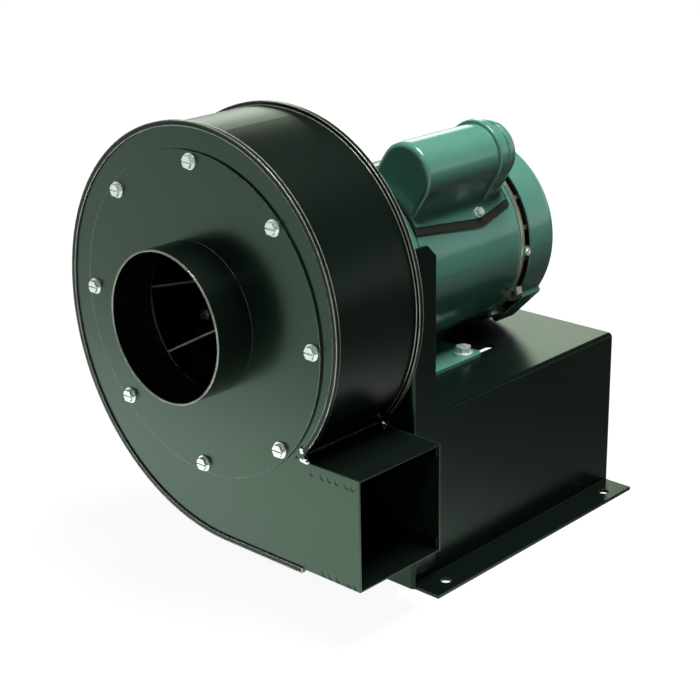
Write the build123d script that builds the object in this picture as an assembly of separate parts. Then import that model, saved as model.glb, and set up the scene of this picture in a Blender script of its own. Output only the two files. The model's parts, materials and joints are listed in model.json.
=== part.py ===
from build123d import *
import math
import os

# A direct-drive pressure blower: a black scroll housing with a round inlet collar and a
# square outlet, a paddle wheel on the motor's own shaft, a foot-mounted motor with a
# capacitor on its back, and a folded pedestal with a bracket that carries the housing.
# Millimetres. X points out of the outlet, Y runs along the shaft from the inlet to the
# motor, Z is up. The origin is on the floor, in the middle of the four base holes.

# Fits
slip = 0.1
over = 1.0
near = 0.01

# Pedestal
pedestal_length = 286.0
pedestal_height = 152.4
pedestal_half_width = 135.5
pedestal_sheet = 3.0
pedestal_bend = 1.2
foot_width = 27.5
base_spacing_x = 300.0
base_spacing_y = 235.0
base_hole_radius = 4.8

# Bolts of the motor's feet and of the housing
bolt_radius = 3.9
bolt_across = 12.7
bolt_head = 5.6
nut_height = 6.8
washer_thickness = 1.6
washer_radius = 8.6
slot_washer_radius = 10.0
foot_bolt_spacing_x = 140.0
foot_bolt_spacing_y = 76.2
foot_bolt_tail = 16.0
foot_hole_gap = 0.4
slot_length = 60.0
slot_width = 9.4
slot_shift = 12.0

# Bracket between pedestal and housing
bracket_sheet = 3.0
bracket_bend = 1.0
bracket_gap = 0.3
bracket_bottom = 1.0
bracket_rise = 57.7
bracket_flange = 28.0
bracket_flange_bottom = 13.5
bracket_chamfer = 10.0
bracket_opening_radius = 21.0
bracket_weld_length = 24.0
bracket_weld_leg = 3.2
bracket_weld_reach = 5.0
bracket_weld_low = 28.0
bracket_weld_drop = 30.4
housing_standoff = 4.0
spacer_radius = 8.0
housing_bolt_x = 88.0
housing_bolt_up = 34.0
housing_bolt_down = 108.0
housing_bolt_tail = 11.0
round_head_radius = 8.5
round_head = 3.6
round_head_bevel = 2.2

# Scroll housing
sheet = 1.5
housing_depth = 100.0
rim_height = 3.5
hem_width = 4.5
scroll_bottom = 193.0
scroll_start_x = 22.0
scroll_arcs = ((184.0, 104.0), (163.0, 85.0), (149.0, 122.0))
outlet_x = 172.0
outlet_height = 95.0
rim_end_x = 110.0
roof_start_x = 120.0
duct_flange = 10.0
duct_flange_start = 14.0
duct_flange_setback = 2.0
top_weld_setbacks = (6.5, 12.4, 23.3, 30.7, 38.3, 49.6)
bottom_weld_setbacks = (4.5, 11.2, 23.1, 31.4, 39.1)
top_weld_drop = 7.8
bottom_weld_rise = 3.4
spot_weld_radius = 2.4
spot_weld_depth = 0.4
shaft_opening_radius = 19.0
cutoff_bead_width = 6.0
cutoff_bead_height = 3.0
cutoff_lump_radius = 2.2
cutoff_lump_shares = (0.25, 0.8)
cutoff_lump_back = 2.6
cutoff_lump_drop = 2.0

# Inlet plate and collar
inlet_opening_radius = 119.0
inlet_plate_radius = 136.0
inlet_plate_thickness = 2.0
inlet_screw_circle = 128.0
inlet_screw_count = 8
inlet_screw_radius = 3.1
inlet_screw_tail = 6.5
inlet_screw_across = 9.6
inlet_screw_head = 3.4
inlet_flange_radius = 6.8
inlet_flange = 1.2
inlet_slot_width = 1.4
inlet_slot_depth = 1.3
clinch_nut_across = 11.0
clinch_nut_height = 5.0
collar_radius = 63.5
collar_wall = 1.5
collar_length = 37.0
collar_step = 0.6
collar_inside = 3.0
collar_weld_leg = 2.5

# Wheel
wheel_radius = 114.0
wheel_front = 12.0
wheel_back = 86.0
wheel_eye_radius = 72.0
shroud_drop = 12.0
shroud_sheet = 1.6
backplate_sheet = 2.0
blade_count = 8
blade_sheet = 1.8
blade_phase = 39.9
blade_inner_front = 73.4
blade_inner_back = 47.0
hub_radius = 22.5
hub_bevel = 2.0
hub_flange_radius = 37.0
hub_flange = 4.0
hub_length = 34.0
hub_tail = 6.0
hub_rivet_circle = 30.0
hub_rivet_count = 6
hub_rivet_radius = 2.4
rivet_head_reach = 1.6
rivet_head = 1.6
hub_screw_radius = 3.0
hub_screw_along = 8.0
hub_screw_recess = 1.0
weight_circle = 94.0
weight_angle = 204.0
weight_radius = 5.5
weight_thickness = 2.5
weight_screw_radius = 2.1
weight_screw_across = 7.0
weight_screw_head = 3.0

# Motor shaft and bearings
shaft_radius = 11.1
shaft_tip = 58.0
shaft_bevel = 1.0
shaft_shoulder = 108.0
shaft_core_radius = 14.0
fan_seat_radius = 9.0
fan_seat_gap = 2.0
key_size = 4.8
key_length = 26.0
key_setback = 2.0
bearing_bore_radius = 12.5
bearing_outer_radius = 26.0
bearing_width = 14.0
bearing_recess = 2.0
front_bearing_inset = 4.0
ball_count = 8
ball_radius = 3.8
ball_gap = 0.08
land_share = 0.62
cage_thickness = 3.0
cage_width = 9.0

# Rotor and start governor
air_gap = 0.5
rotor_ring_length = 9.0
rotor_ring_step = 3.0
rotor_ring_width = 13.0
governor_gap = 2.0
governor_length = 11.0
governor_wall = 4.0
governor_flange_reach = 11.0
governor_flange_start = 3.0
governor_flange = 2.0
governor_weight_width = 7.0
governor_weight_height = 14.0

# Motor shell and stator
shell_radius = 82.5
shell_sheet = 2.0
shell_start = 185.0
shell_length = 134.0
motor_floor_gap = 6.4
stack_start = 208.0
stack_length = 70.0
stator_bore_radius = 46.0
stator_slot_count = 24
stator_slot_width = 4.4
stator_slot_depth = 14.0
winding_length = 16.0
winding_gap_in = 3.0
winding_gap_out = 12.0
winding_bevel = 4.0
through_bolt_count = 4
through_bolt_inset = 6.0
through_bolt_radius = 2.5
through_bolt_tail = 5.0
through_bolt_across = 8.0
through_bolt_head = 3.5
through_bolt_pocket = 5.2
lead_hole_radius = 8.0
lead_hole_along = 18.0
switch_board = 3.0
switch_board_width = 60.0
switch_board_inset = 18.0
switch_block_width = 16.0
switch_block_height = 10.0
switch_block_length = 9.0
switch_block_gap = 6.0

# Conduit box on the side away from the outlet
conduit_angle = -90.0
conduit_along = 245.0
conduit_length = 74.0
conduit_width = 62.0
conduit_rise = 39.5
conduit_root = 22.5
conduit_sheet = 1.5
conduit_corner = 6.0
conduit_entry_radius = 11.1
conduit_entry_drop = 20.0
conduit_lip = 1.0
conduit_lid = 3.0
conduit_lid_round = 1.5
conduit_ear_width = 10.0
conduit_ear_length = 8.8
conduit_ear_height = 8.0
conduit_screw_radius = 2.0
conduit_screw_head_radius = 3.8
conduit_screw_head = 2.4
conduit_screw_slot = 1.0
conduit_screw_tail = 10.0

# Front bell
front_bell_start = 124.0
bell_wall = 5.0
bell_spigot = 8.0
front_hub_radius = 34.0
front_hub_length = 16.0
front_hub_flare = 2.0
front_hub_bevel = 3.0
front_rim_length = 14.0
front_rim_inset = 1.0
front_shoulder_inset = 6.0
front_shoulder_length = 8.0
front_rib_count = 8
front_rib_width = 4.0
shaft_clearance = 3.0

# Rear bell, its ribs, lugs and studs
rear_bell_thickness = 6.0
rear_rim_step = 1.5
rear_rim_length = 4.5
rear_cone_inset = 9.0
rear_spigot = 7.0
vent_gap = 8.0
rib_count = 18
rib_phase = 17.5
rib_width = 3.6
rib_tail = 5.0
rib_step = 1.0
rib_screw_clearance = 5.0
rib_corner_clearance = 20.0
baffle_radius = 70.0
baffle_wall = 5.0
baffle_length = 6.5
corner_angle = 135.0
lug_tail = 6.0
ear_angle = 121.5
ear_side = 12.5
ear_step = 4.0
ear_trim = 9.0
ear_hole_radius = 3.0
ear_front = 0.3
ear_back = 0.4
stud_angle = 142.6
stud_step = 3.0
stud_radius = 2.4
stud_reach = 5.0
stud_ear_width = 8.0
stud_ear_height = 7.0

# Cooling fan and its cover
cover_step = 5.5
cover_sheet = 1.5
cover_length = 43.0
cover_round = 14.0
hump_width = 45.0
hump_height = 3.5
hump_length = 28.0
hump_root = 12.0
hump_round = 3.0
tab_width = 8.0
tab_reach = 7.0
tab_root = 6.0
tab_thickness = 1.5
screw_lug_width = 7.0
cover_screw_angles = (0.0, 92.0, -92.0)
cover_screw_radius = 2.0
cover_screw_along = 4.5
cover_screw_head_radius = 3.2
cover_screw_head = 1.9
cover_screw_recess_radius = 1.4
cover_screw_recess = 1.1
cover_screw_depth = 10.5
grille_rows = ((26.0, 10.0), (44.0, 11.0), (60.0, 11.5))
grille_slot_count = 12
grille_slot_width = 5.2
fan_gap = 6.0
fan_clearance = 20.0
fan_length = 20.0
fan_hub_radius = 16.0
fan_disc = 2.0
fan_blade_count = 8
fan_blade = 2.4

# Capacitor and its cover
can_angle = 32.6
can_rise = 24.3
can_radius = 28.0
can_sheet = 1.0
can_start = 186.0
can_length = 123.5
can_front_round = 5.0
can_back_round = 8.0
can_root_share = 0.8
bead_start = 94.5
bead_width = 10.0
bead_height = 3.2
bead_round = 2.0
ridge_start = 109.5
ridge_width = 4.0
ridge_height = 1.2
ridge_round = 0.8
gasket_thickness = 2.0
gasket_front_grow = 5.0
gasket_screw_grow = 2.0
gasket_back_grow = 9.0
gasket_front_reach = 1.5
gasket_back_reach = 6.0
gasket_border = 5.0
skirt_end_angle = 24.5
skirt_wide_angle = 30.5
skirt_wide_length = 8.0
skirt_screw_angle = 26.9
skirt_screw_along = 81.0
skirt_screw_radius = 2.1
skirt_screw_across = 7.4
skirt_screw_head = 3.4
skirt_screw_slot = 1.2
skirt_screw_slot_depth = 1.0
skirt_washer_radius = 5.2
skirt_washer = 1.0
capacitor_radius = 24.0
capacitor_length = 86.0
capacitor_gap = 0.2
capacitor_inset = 8.0
terminal_spacing = 16.0
terminal_width = 6.4
terminal_thickness = 0.8
terminal_length = 10.0

# Motor base
base_plate = 3.4
base_edge = 11.5
base_start = 162.0
base_length = 106.0
base_corner = 6.0
saddle_half_width = 52.0
saddle_length = 34.0

# Stations worked out from the sizes above
shaft_height = pedestal_height + motor_floor_gap + shell_radius
pedestal_front = -pedestal_length / 2
bracket_back = pedestal_front - bracket_gap
bracket_front = bracket_back - bracket_sheet
housing_back = bracket_front - housing_standoff
housing_front = housing_back - housing_depth
plate_front = housing_front + sheet
plate_inner_front = plate_front + sheet
plate_inner_back = housing_back - 2 * sheet
plate_back = housing_back - sheet
scroll_floor_z = shaft_height - scroll_bottom
outlet_floor_z = scroll_floor_z + rim_height
outlet_roof_z = outlet_floor_z + outlet_height


def station(depth):
    """Y of a place given as its depth behind the housing's front rim."""
    return housing_front + depth


# Places along the shaft
shell_end = station(shell_start + shell_length)
cover_front = shell_end + vent_gap
fan_front = cover_front + fan_gap
front_bearing_y = station(front_bell_start) + front_bearing_inset
rear_bearing_y = shell_end + rear_bell_thickness - bearing_width - bearing_recess
hub_seat = station(wheel_back)
hub_end = hub_seat + backplate_sheet + hub_tail
base_middle_y = station(base_start + base_length / 2)
lid_seat = shaft_height + shell_radius + conduit_rise
through_bolt_circle = shell_radius - through_bolt_inset
cover_radius = shell_radius + cover_step
cover_inside = cover_radius - cover_sheet
bearing_track = (bearing_bore_radius + bearing_outer_radius) / 2


def slab(face, y_start, y_end):
    """Extrude a face drawn in (x, z) from y_start to y_end."""
    plane = Plane(origin=(0, y_start, 0), x_dir=(1, 0, 0), z_dir=(0, -1, 0))
    return extrude(plane * face, amount=y_end - y_start, dir=(0, 1, 0))


def disc_face(radius, x, z):
    return Pos(x, z) * Circle(radius)


def ring(outer, inner, y_start, y_end):
    """A ring or, with inner 0, a disc round the shaft axis."""
    face = disc_face(outer, 0, shaft_height)
    if inner > 0:
        face -= disc_face(inner, 0, shaft_height)
    return slab(face, y_start, y_end)


def turned(*points):
    """Revolve a closed outline of (radius, y) points round the shaft axis."""
    outline = make_face(Polyline(*points, close=True))
    return revolve(Pos(0, 0, shaft_height) * outline, Axis((0, 0, shaft_height), (0, 1, 0)), 360)


def around(angle_from_top, radius):
    """(x, z) of a point round the shaft axis, its angle measured from the top towards +X."""
    turn = math.radians(angle_from_top)
    return radius * math.sin(turn), shaft_height + radius * math.cos(turn)


def spin(shape, angle_from_top):
    """Turn a shape that was built at the top of the shaft axis to its angle."""
    return shape.rotate(Axis((0, 0, shaft_height), (0, 1, 0)), angle_from_top)


def rod(radius, x, z, y_start, y_end):
    return slab(disc_face(radius, x, z), y_start, y_end)


def hex_rod(across, x, z, y_start, y_end):
    face = Pos(x, z) * RegularPolygon(across / 2, 6, major_radius=False)
    return slab(face, y_start, y_end)


def upright(radius, x, y, z_start, z_end):
    return Pos(x, y, z_start) * extrude(Circle(radius), amount=z_end - z_start)


def hex_upright(across, x, y, z_start, z_end):
    face = RegularPolygon(across / 2, 6, major_radius=False)
    return Pos(x, y, z_start) * extrude(face, amount=z_end - z_start)


def block(x_start, x_end, y_start, y_end, z_start, z_end):
    size = (x_end - x_start, y_end - y_start, z_end - z_start)
    return Pos(x_start, y_start, z_start) * Box(*size, align=(Align.MIN, Align.MIN, Align.MIN))


def round_corners(face, corners):
    """Fillet the corners of a face that lie at the given (x, y, radius) places."""
    for x, y, radius in corners:
        corner = face.vertices().sort_by_distance((x, y, 0))[0]
        face = fillet(corner, radius)
    return face


def save(name, *solids):
    """Write one sub-part, a single solid or a group of them, to its own file."""
    shape = solids[0] if len(solids) == 1 else Compound(children=list(solids))
    export_step(shape, os.path.join("parts", name + ".step"))


# Scroll outline: a flat floor, then three arcs that tighten round to the cut-off

def scroll_centres():
    """Centre, radius, start and end angle of each arc of the rim's outer edge."""
    x, z, heading = scroll_start_x, scroll_floor_z, 180.0
    arcs = []
    for radius, sweep in scroll_arcs:
        side = math.radians(heading - 90)
        centre = (x + radius * math.cos(side), z + radius * math.sin(side))
        start = heading + 90
        end = start - sweep
        arcs.append((centre, radius, start, end))
        x = centre[0] + radius * math.cos(math.radians(end))
        z = centre[1] + radius * math.sin(math.radians(end))
        heading -= sweep
    return arcs


def arc_point(arc, inset, angle):
    centre, radius = arc[0], arc[1] - inset
    return (centre[0] + radius * math.cos(math.radians(angle)),
            centre[1] + radius * math.sin(math.radians(angle)))


def scroll_line(inset, start_x):
    """Edges of the scroll at an inset from the rim's edge, from the floor to the cut-off."""
    floor = scroll_floor_z + inset
    edges = [Line((start_x, floor), (scroll_start_x, floor))]
    for arc in scroll_centres():
        middle = (arc[2] + arc[3]) / 2
        edges.append(ThreePointArc(arc_point(arc, inset, arc[2]), arc_point(arc, inset, middle),
                                   arc_point(arc, inset, arc[3])))
    return edges


def scroll_end(inset):
    arc = scroll_centres()[-1]
    return arc_point(arc, inset, arc[3])


def tail_end(inset):
    """Where the wall at this inset, run on straight past its last arc, meets the outlet's roof."""
    x, z = scroll_end(inset)
    heading = math.radians(scroll_centres()[-1][3] - 90)
    reach = (outlet_roof_z - z) / math.sin(heading)
    return x + reach * math.cos(heading), outlet_roof_z


def scroll_band(outer, inner, start_x):
    """The band between two insets, cut square at the cut-off."""
    edges = scroll_line(outer, start_x) + scroll_line(inner, start_x)
    edges.append(Line((start_x, scroll_floor_z + outer), (start_x, scroll_floor_z + inner)))
    edges.append(Line(scroll_end(outer), scroll_end(inner)))
    return make_face(edges)


def wall_band():
    """The wrapper's own sheet, from the outlet to where it stands on the outlet's roof."""
    outer, inner = rim_height, rim_height + sheet
    edges = scroll_line(outer, outlet_x) + scroll_line(inner, outlet_x)
    edges.append(Line((outlet_x, scroll_floor_z + outer), (outlet_x, scroll_floor_z + inner)))
    edges.append(Line(scroll_end(outer), tail_end(outer)))
    edges.append(Line(scroll_end(inner), tail_end(inner)))
    edges.append(Line(tail_end(outer), tail_end(inner)))
    return make_face(edges)


def lock_seam(face_start, fold_start, inner_start):
    """The wrapper's edge folded out, round the side plate and back over it."""
    fold = 3 * sheet
    seam = slab(scroll_band(0, hem_width, rim_end_x), face_start, face_start + sheet)
    seam += slab(scroll_band(0, sheet, rim_end_x), fold_start, fold_start + fold)
    seam += slab(scroll_band(0, rim_height + sheet, rim_end_x), inner_start, inner_start + sheet)
    return seam


def duct_flanges(z_start, z_end):
    """The turned edges inside the outlet that the side plates are spot-welded to."""
    x_start, x_end = rim_end_x + duct_flange_start, outlet_x - duct_flange_setback
    front = block(x_start, x_end, plate_inner_front, plate_inner_front + sheet, z_start, z_end)
    back = block(x_start, x_end, plate_inner_back - sheet, plate_inner_back, z_start, z_end)
    return front + back


def scroll_wrapper():
    """One rolled sheet with a lock seam along each edge and flanges in the outlet."""
    fold = 3 * sheet
    wrapper = slab(wall_band(), plate_inner_front, plate_inner_back)
    wrapper += lock_seam(housing_front, housing_front, plate_inner_front)
    wrapper += lock_seam(plate_back, housing_back - fold, housing_back - fold)
    floor = outlet_floor_z + sheet
    return wrapper + duct_flanges(floor, floor + duct_flange)


def outlet_roof():
    start = tail_end(rim_height + sheet)[0]
    under = outlet_roof_z - sheet
    roof = block(start, outlet_x, plate_inner_front, plate_inner_back, under, outlet_roof_z)
    return roof + duct_flanges(under - duct_flange, under)


def side_plate_face():
    edge = sheet + slip
    floor_end = rim_end_x - slip
    edges = scroll_line(edge, floor_end)
    edges.append(Line((floor_end, scroll_floor_z + edge), (floor_end, outlet_floor_z)))
    edges.append(Line((floor_end, outlet_floor_z), (outlet_x, outlet_floor_z)))
    edges.append(Line((outlet_x, outlet_floor_z), (outlet_x, outlet_roof_z)))
    edges.append(Line((outlet_x, outlet_roof_z), (roof_start_x, outlet_roof_z)))
    edges.append(Line((roof_start_x, outlet_roof_z), scroll_end(edge)))
    return make_face(edges)


def spot_weld_places():
    """(x, z) of the spot welds along the outlet's top and bottom edges."""
    top = [(outlet_x - back, outlet_roof_z - top_weld_drop) for back in top_weld_setbacks]
    bottom = [(outlet_x - back, outlet_floor_z + bottom_weld_rise) for back in bottom_weld_setbacks]
    return top + bottom


def inlet_screw_places():
    return [around(360 / inlet_screw_count * index, inlet_screw_circle)
            for index in range(inlet_screw_count)]


def front_side_plate():
    plate = slab(side_plate_face(), plate_front, plate_inner_front)
    plate -= ring(inlet_opening_radius, 0, plate_front - over, plate_inner_front + over)
    for x, z in inlet_screw_places():
        plate -= rod(inlet_screw_radius + 2 * slip, x, z, plate_front - over, plate_inner_front + over)
    for x, z in spot_weld_places():
        plate -= rod(spot_weld_radius, x, z, plate_front - over, plate_front + spot_weld_depth)
    return plate


def housing_bolt_places():
    return [(side * housing_bolt_x, shaft_height + up)
            for side in (-1, 1) for up in (housing_bolt_up, -housing_bolt_down)]


def rear_side_plate():
    plate = slab(side_plate_face(), plate_inner_back, plate_back)
    plate -= ring(shaft_opening_radius, 0, plate_inner_back - over, plate_back + over)
    for x, z in housing_bolt_places():
        plate -= rod(bolt_radius + slip, x, z, plate_inner_back - over, plate_back + over)
    for x, z in spot_weld_places():
        plate -= rod(spot_weld_radius, x, z, plate_back - spot_weld_depth, plate_back + over)
    return plate


def cutoff_welds():
    """A bead along the wall's foot on the outlet's roof, and two lumps at each end of the seam."""
    foot_x = tail_end(rim_height)[0]
    bead = make_face(Polyline((foot_x + slip, outlet_roof_z),
                              (foot_x + cutoff_bead_width, outlet_roof_z),
                              (foot_x + cutoff_bead_width, outlet_roof_z + cutoff_bead_height),
                              close=True))
    solids = [slab(bead, plate_inner_front + slip, plate_inner_back - slip)]
    foot = (Align.CENTER, Align.CENTER, Align.MIN)
    lump = Sphere(cutoff_lump_radius, arc_size1=0, align=foot)
    end_x, end_z = scroll_end(rim_height)
    for share in cutoff_lump_shares:
        x = end_x + (roof_start_x - end_x) * share - cutoff_lump_back
        z = end_z + (outlet_roof_z - end_z) * share - cutoff_lump_drop
        for face_y, turn in ((plate_front, 90), (plate_back, -90)):
            solids.append(Pos(x, face_y, z) * Rot(turn, 0, 0) * lump)
    return solids


def inlet_plate():
    front = plate_front - inlet_plate_thickness
    plate = ring(inlet_plate_radius, collar_radius - collar_step, front, plate_front)
    for x, z in inlet_screw_places():
        plate -= rod(inlet_screw_radius + 3 * slip, x, z, front - over, plate_front + over)
    return plate


def inlet_collar():
    """A short pipe that seats on the inlet plate by a shallow step and ends inside it."""
    tip, seat = housing_front - collar_length, plate_front - inlet_plate_thickness
    inner, spigot = collar_radius - collar_wall, collar_radius - collar_step
    end = plate_front + collar_inside
    return turned((inner, tip), (collar_radius, tip), (collar_radius, seat), (spigot, seat),
                  (spigot, end), (inner, end))


def collar_weld():
    """The fillet bead round the collar, on the inside of the inlet plate."""
    spigot = collar_radius - collar_step
    return turned((spigot, plate_front), (spigot + collar_weld_leg, plate_front),
                  (spigot, plate_front + collar_weld_leg))


def inlet_screw(x, z):
    """A hex screw with a washer face and a driver slot, its tip through the clinch nut."""
    seat = plate_front - inlet_plate_thickness
    hex_start = seat - inlet_flange
    top = hex_start - inlet_screw_head
    screw = rod(inlet_flange_radius, x, z, hex_start, seat)
    screw += hex_rod(inlet_screw_across, x, z, top, hex_start)
    screw += rod(inlet_screw_radius, x, z, seat, plate_inner_front + inlet_screw_tail)
    half_length, half_width = inlet_flange_radius, inlet_slot_width / 2
    slot = block(x - half_length, x + half_length, top - over, top + inlet_slot_depth,
                 z - half_width, z + half_width)
    return screw - slot


def inlet_nut(x, z):
    end = plate_inner_front + clinch_nut_height
    nut = hex_rod(clinch_nut_across, x, z, plate_inner_front, end)
    return nut - rod(inlet_screw_radius + slip, x, z, plate_inner_front - over, end + over)


# Wheel

def hub_rivet_places():
    return [around(360 / hub_rivet_count * index, hub_rivet_circle)
            for index in range(hub_rivet_count)]


def weight_place():
    return around(90 - weight_angle, weight_circle)


def wheel_backplate():
    end = hub_seat + backplate_sheet
    plate = ring(wheel_radius, hub_radius + slip, hub_seat, end)
    for x, z in hub_rivet_places():
        plate -= rod(hub_rivet_radius + slip, x, z, hub_seat - over, end + over)
    x, z = weight_place()
    return plate - rod(weight_screw_radius + slip, x, z, hub_seat - over, end + over)


def wheel_shroud():
    """The coned front ring, open at the eye."""
    front = station(wheel_front)
    outer = front + shroud_drop
    return turned((wheel_eye_radius, front), (wheel_radius, outer),
                  (wheel_radius, outer + shroud_sheet), (wheel_eye_radius, front + shroud_sheet))


def wheel_blade(index):
    """A flat radial blade, its inner edge slanting in towards the hub."""
    front = station(wheel_front) + shroud_sheet + slip / 2
    slope = shroud_drop / (wheel_radius - wheel_eye_radius)
    inner_y = front + slope * (blade_inner_front - wheel_eye_radius)
    outline = make_face(Polyline((blade_inner_front, inner_y), (wheel_radius, front + shroud_drop),
                                 (wheel_radius, hub_seat), (blade_inner_back, hub_seat), close=True))
    blade = extrude(Pos(0, 0, shaft_height - blade_sheet / 2) * outline, amount=blade_sheet)
    return spin(blade, -blade_phase - 360 / blade_count * index)


def wheel_hub():
    """A barrel with a flange before the backplate, bored and keyed for the shaft."""
    bore, tip = shaft_radius + slip / 2, hub_end - hub_length
    flange_start = hub_seat - hub_flange
    hub = turned((bore, tip), (hub_radius - hub_bevel, tip), (hub_radius, tip + hub_bevel),
                 (hub_radius, flange_start), (hub_flange_radius, flange_start),
                 (hub_flange_radius, hub_seat), (hub_radius, hub_seat), (hub_radius, hub_end),
                 (bore, hub_end))
    hub -= block(-key_size / 2, key_size / 2, tip - over, hub_end + over, shaft_height,
                 shaft_height + shaft_radius + key_size / 2)
    for x, z in hub_rivet_places():
        hub -= rod(hub_rivet_radius + slip, x, z, flange_start - over, hub_seat + over)
    return hub - hub_screw(0)


def hub_screw(gap):
    """The set screw that bears on the shaft, square to the key."""
    pin = extrude(Circle(hub_screw_radius - gap), amount=hub_radius - shaft_radius - hub_screw_recess)
    y = hub_end - hub_length + hub_screw_along
    return Pos(shaft_radius + slip, y, shaft_height) * Rot(0, 90, 0) * pin


def hub_rivet(x, z):
    front, back = hub_seat - hub_flange, hub_seat + backplate_sheet
    rivet = rod(hub_rivet_radius, x, z, front, back)
    rivet += rod(hub_rivet_radius + rivet_head_reach, x, z, front - rivet_head, front)
    return rivet + rod(hub_rivet_radius + rivet_head_reach, x, z, back, back + rivet_head)


def balance_weight():
    """A small weight on the backplate's front, held by its own screw."""
    x, z = weight_place()
    seat = hub_seat - weight_thickness
    weight = rod(weight_radius, x, z, seat, hub_seat)
    weight += hex_rod(weight_screw_across, x, z, seat - weight_screw_head, seat)
    return weight + rod(weight_screw_radius, x, z, hub_seat, hub_seat + backplate_sheet + hub_bevel)


def shaft_key():
    end = hub_end - key_setback
    middle, half = shaft_height + shaft_radius, (key_size - slip) / 2
    return block(-half, half, end - key_length, end, middle - key_size / 2,
                 middle + key_size / 2 - slip)


# Motor shaft, bearings, rotor

def motor_shaft():
    """A stepped shaft: wheel end, two bearing seats, the core's seat and the fan end."""
    tip, shoulder = station(shaft_tip), station(shaft_shoulder)
    front_end, rear_end = front_bearing_y + bearing_width, rear_bearing_y + bearing_width
    seat = bearing_bore_radius - slip / 2
    fan_shoulder = rear_end + bearing_recess
    end = fan_front + fan_length - fan_seat_gap
    shaft = turned((0, tip), (shaft_radius - shaft_bevel, tip), (shaft_radius, tip + shaft_bevel),
                   (shaft_radius, shoulder), (seat, shoulder), (seat, front_end),
                   (shaft_core_radius, front_end), (shaft_core_radius, rear_bearing_y),
                   (seat, rear_bearing_y), (seat, fan_shoulder), (fan_seat_radius, fan_shoulder),
                   (fan_seat_radius, end), (0, end))
    key_end = hub_end - key_setback
    keyway = block(-key_size / 2, key_size / 2, key_end - key_length - slip, key_end + slip,
                   shaft_height + shaft_radius - key_size / 2 - slip, shaft_height + 2 * shaft_radius)
    return shaft - keyway


def ball_groove(y_start):
    """The ring that the balls sweep in both races."""
    groove = Torus(bearing_track, ball_radius + ball_gap)
    return Pos(0, y_start + bearing_width / 2, shaft_height) * Rot(90, 0, 0) * groove


def bearing_inner(y_start):
    land = bearing_track - ball_radius * land_share
    return ring(land, bearing_bore_radius, y_start, y_start + bearing_width) - ball_groove(y_start)


def bearing_outer(y_start):
    land = bearing_track + ball_radius * land_share
    return ring(bearing_outer_radius, land, y_start, y_start + bearing_width) - ball_groove(y_start)


def bearing_cage(y_start):
    """The ring that spaces the balls, with a pocket for each."""
    middle, half = y_start + bearing_width / 2, cage_thickness / 2
    cage = ring(bearing_track + half, bearing_track - half,
                middle - cage_width / 2, middle + cage_width / 2)
    track_z = shaft_height + bearing_track
    pocket = upright(ball_radius + ball_gap, 0, middle, track_z - cage_thickness,
                     track_z + cage_thickness)
    for index in range(ball_count):
        cage -= spin(pocket, 360 / ball_count * index)
    return cage


def bearing_balls(y_start):
    places = [around(360 / ball_count * index, bearing_track) for index in range(ball_count)]
    return [Pos(x, y_start + bearing_width / 2, z) * Sphere(ball_radius) for x, z in places]


def rotor_core():
    return ring(stator_bore_radius - air_gap, shaft_core_radius + slip / 2,
                station(stack_start), station(stack_start + stack_length))


def rotor_end_ring(y_start):
    outer = stator_bore_radius - rotor_ring_step
    return ring(outer, outer - rotor_ring_width, y_start, y_start + rotor_ring_length)


def start_governor():
    """The centrifugal switch's turning half: a collar with a flange and two weights."""
    start = station(stack_start + stack_length) + rotor_ring_length + governor_gap
    bore, end = shaft_core_radius + slip / 2, start + governor_length
    flange_start = start + governor_flange_start
    flange_end = flange_start + governor_flange
    collar = ring(bore + governor_wall, bore, start, end)
    collar += ring(bore + governor_flange_reach, bore, flange_start, flange_end)
    half = governor_weight_height / 2
    for side in (-1, 1):
        inner, outer = bore + governor_wall - over, bore + governor_wall + governor_weight_width - over
        collar += block(min(side * inner, side * outer), max(side * inner, side * outer),
                        flange_end, end, shaft_height - half, shaft_height + half)
    return collar


# Stator and shell

def through_bolt_places():
    return [around(45 + 360 / through_bolt_count * index, through_bolt_circle)
            for index in range(through_bolt_count)]


def stator_core():
    """The stack, pressed in the shell, with open slots inside and holes for the through bolts."""
    start, end = station(stack_start), station(stack_start + stack_length)
    core = ring(shell_radius - shell_sheet - slip / 2, stator_bore_radius, start, end)
    slot = block(-stator_slot_width / 2, stator_slot_width / 2, start - over, end + over,
                 shaft_height + stator_bore_radius - 2 * over,
                 shaft_height + stator_bore_radius + stator_slot_depth)
    for index in range(stator_slot_count):
        core -= spin(slot, 360 / stator_slot_count * (index + 0.5))
    for x, z in through_bolt_places():
        core -= rod(through_bolt_radius + 2 * slip, x, z, start - over, end + over)
    return core


def winding(start, direction):
    """One bundle of coil ends, bevelled like a tied coil, on one side of the stack."""
    far = start + direction * winding_length
    shoulder = far - direction * winding_bevel
    inner = stator_bore_radius + winding_gap_in
    outer = shell_radius - shell_sheet - winding_gap_out
    return turned((inner, start), (outer, start), (outer, shoulder), (outer - winding_bevel, far),
                  (inner + winding_bevel, far), (inner, shoulder))


def lead_hole(along):
    """The hole in the shell's top that wires pass through."""
    top = shaft_height + shell_radius
    return upright(lead_hole_radius, 0, station(along), top - lead_hole_radius, top + lead_hole_radius)


def motor_shell():
    """The rolled shell, with a lead hole under the capacitor and one in the conduit box."""
    shell = ring(shell_radius, shell_radius - shell_sheet, station(shell_start), shell_end)
    shell -= spin(lead_hole(can_start + lead_hole_along), can_angle)
    return shell - spin(lead_hole(conduit_along), conduit_angle)


# Conduit box

def conduit_form(inset, top):
    """The conduit box's outer or inner form, built over the top of the shell."""
    middle = station(conduit_along)
    half_y, half_x = conduit_length / 2 - inset, conduit_width / 2 - inset
    root = shaft_height + shell_radius - conduit_root
    form = block(-half_x, half_x, middle - half_y, middle + half_y, root, top)
    form = fillet(form.edges().filter_by(Axis.Z), conduit_corner - inset)
    return form - ring(shell_radius + slip + inset, 0, middle - conduit_length, middle + conduit_length)


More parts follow.
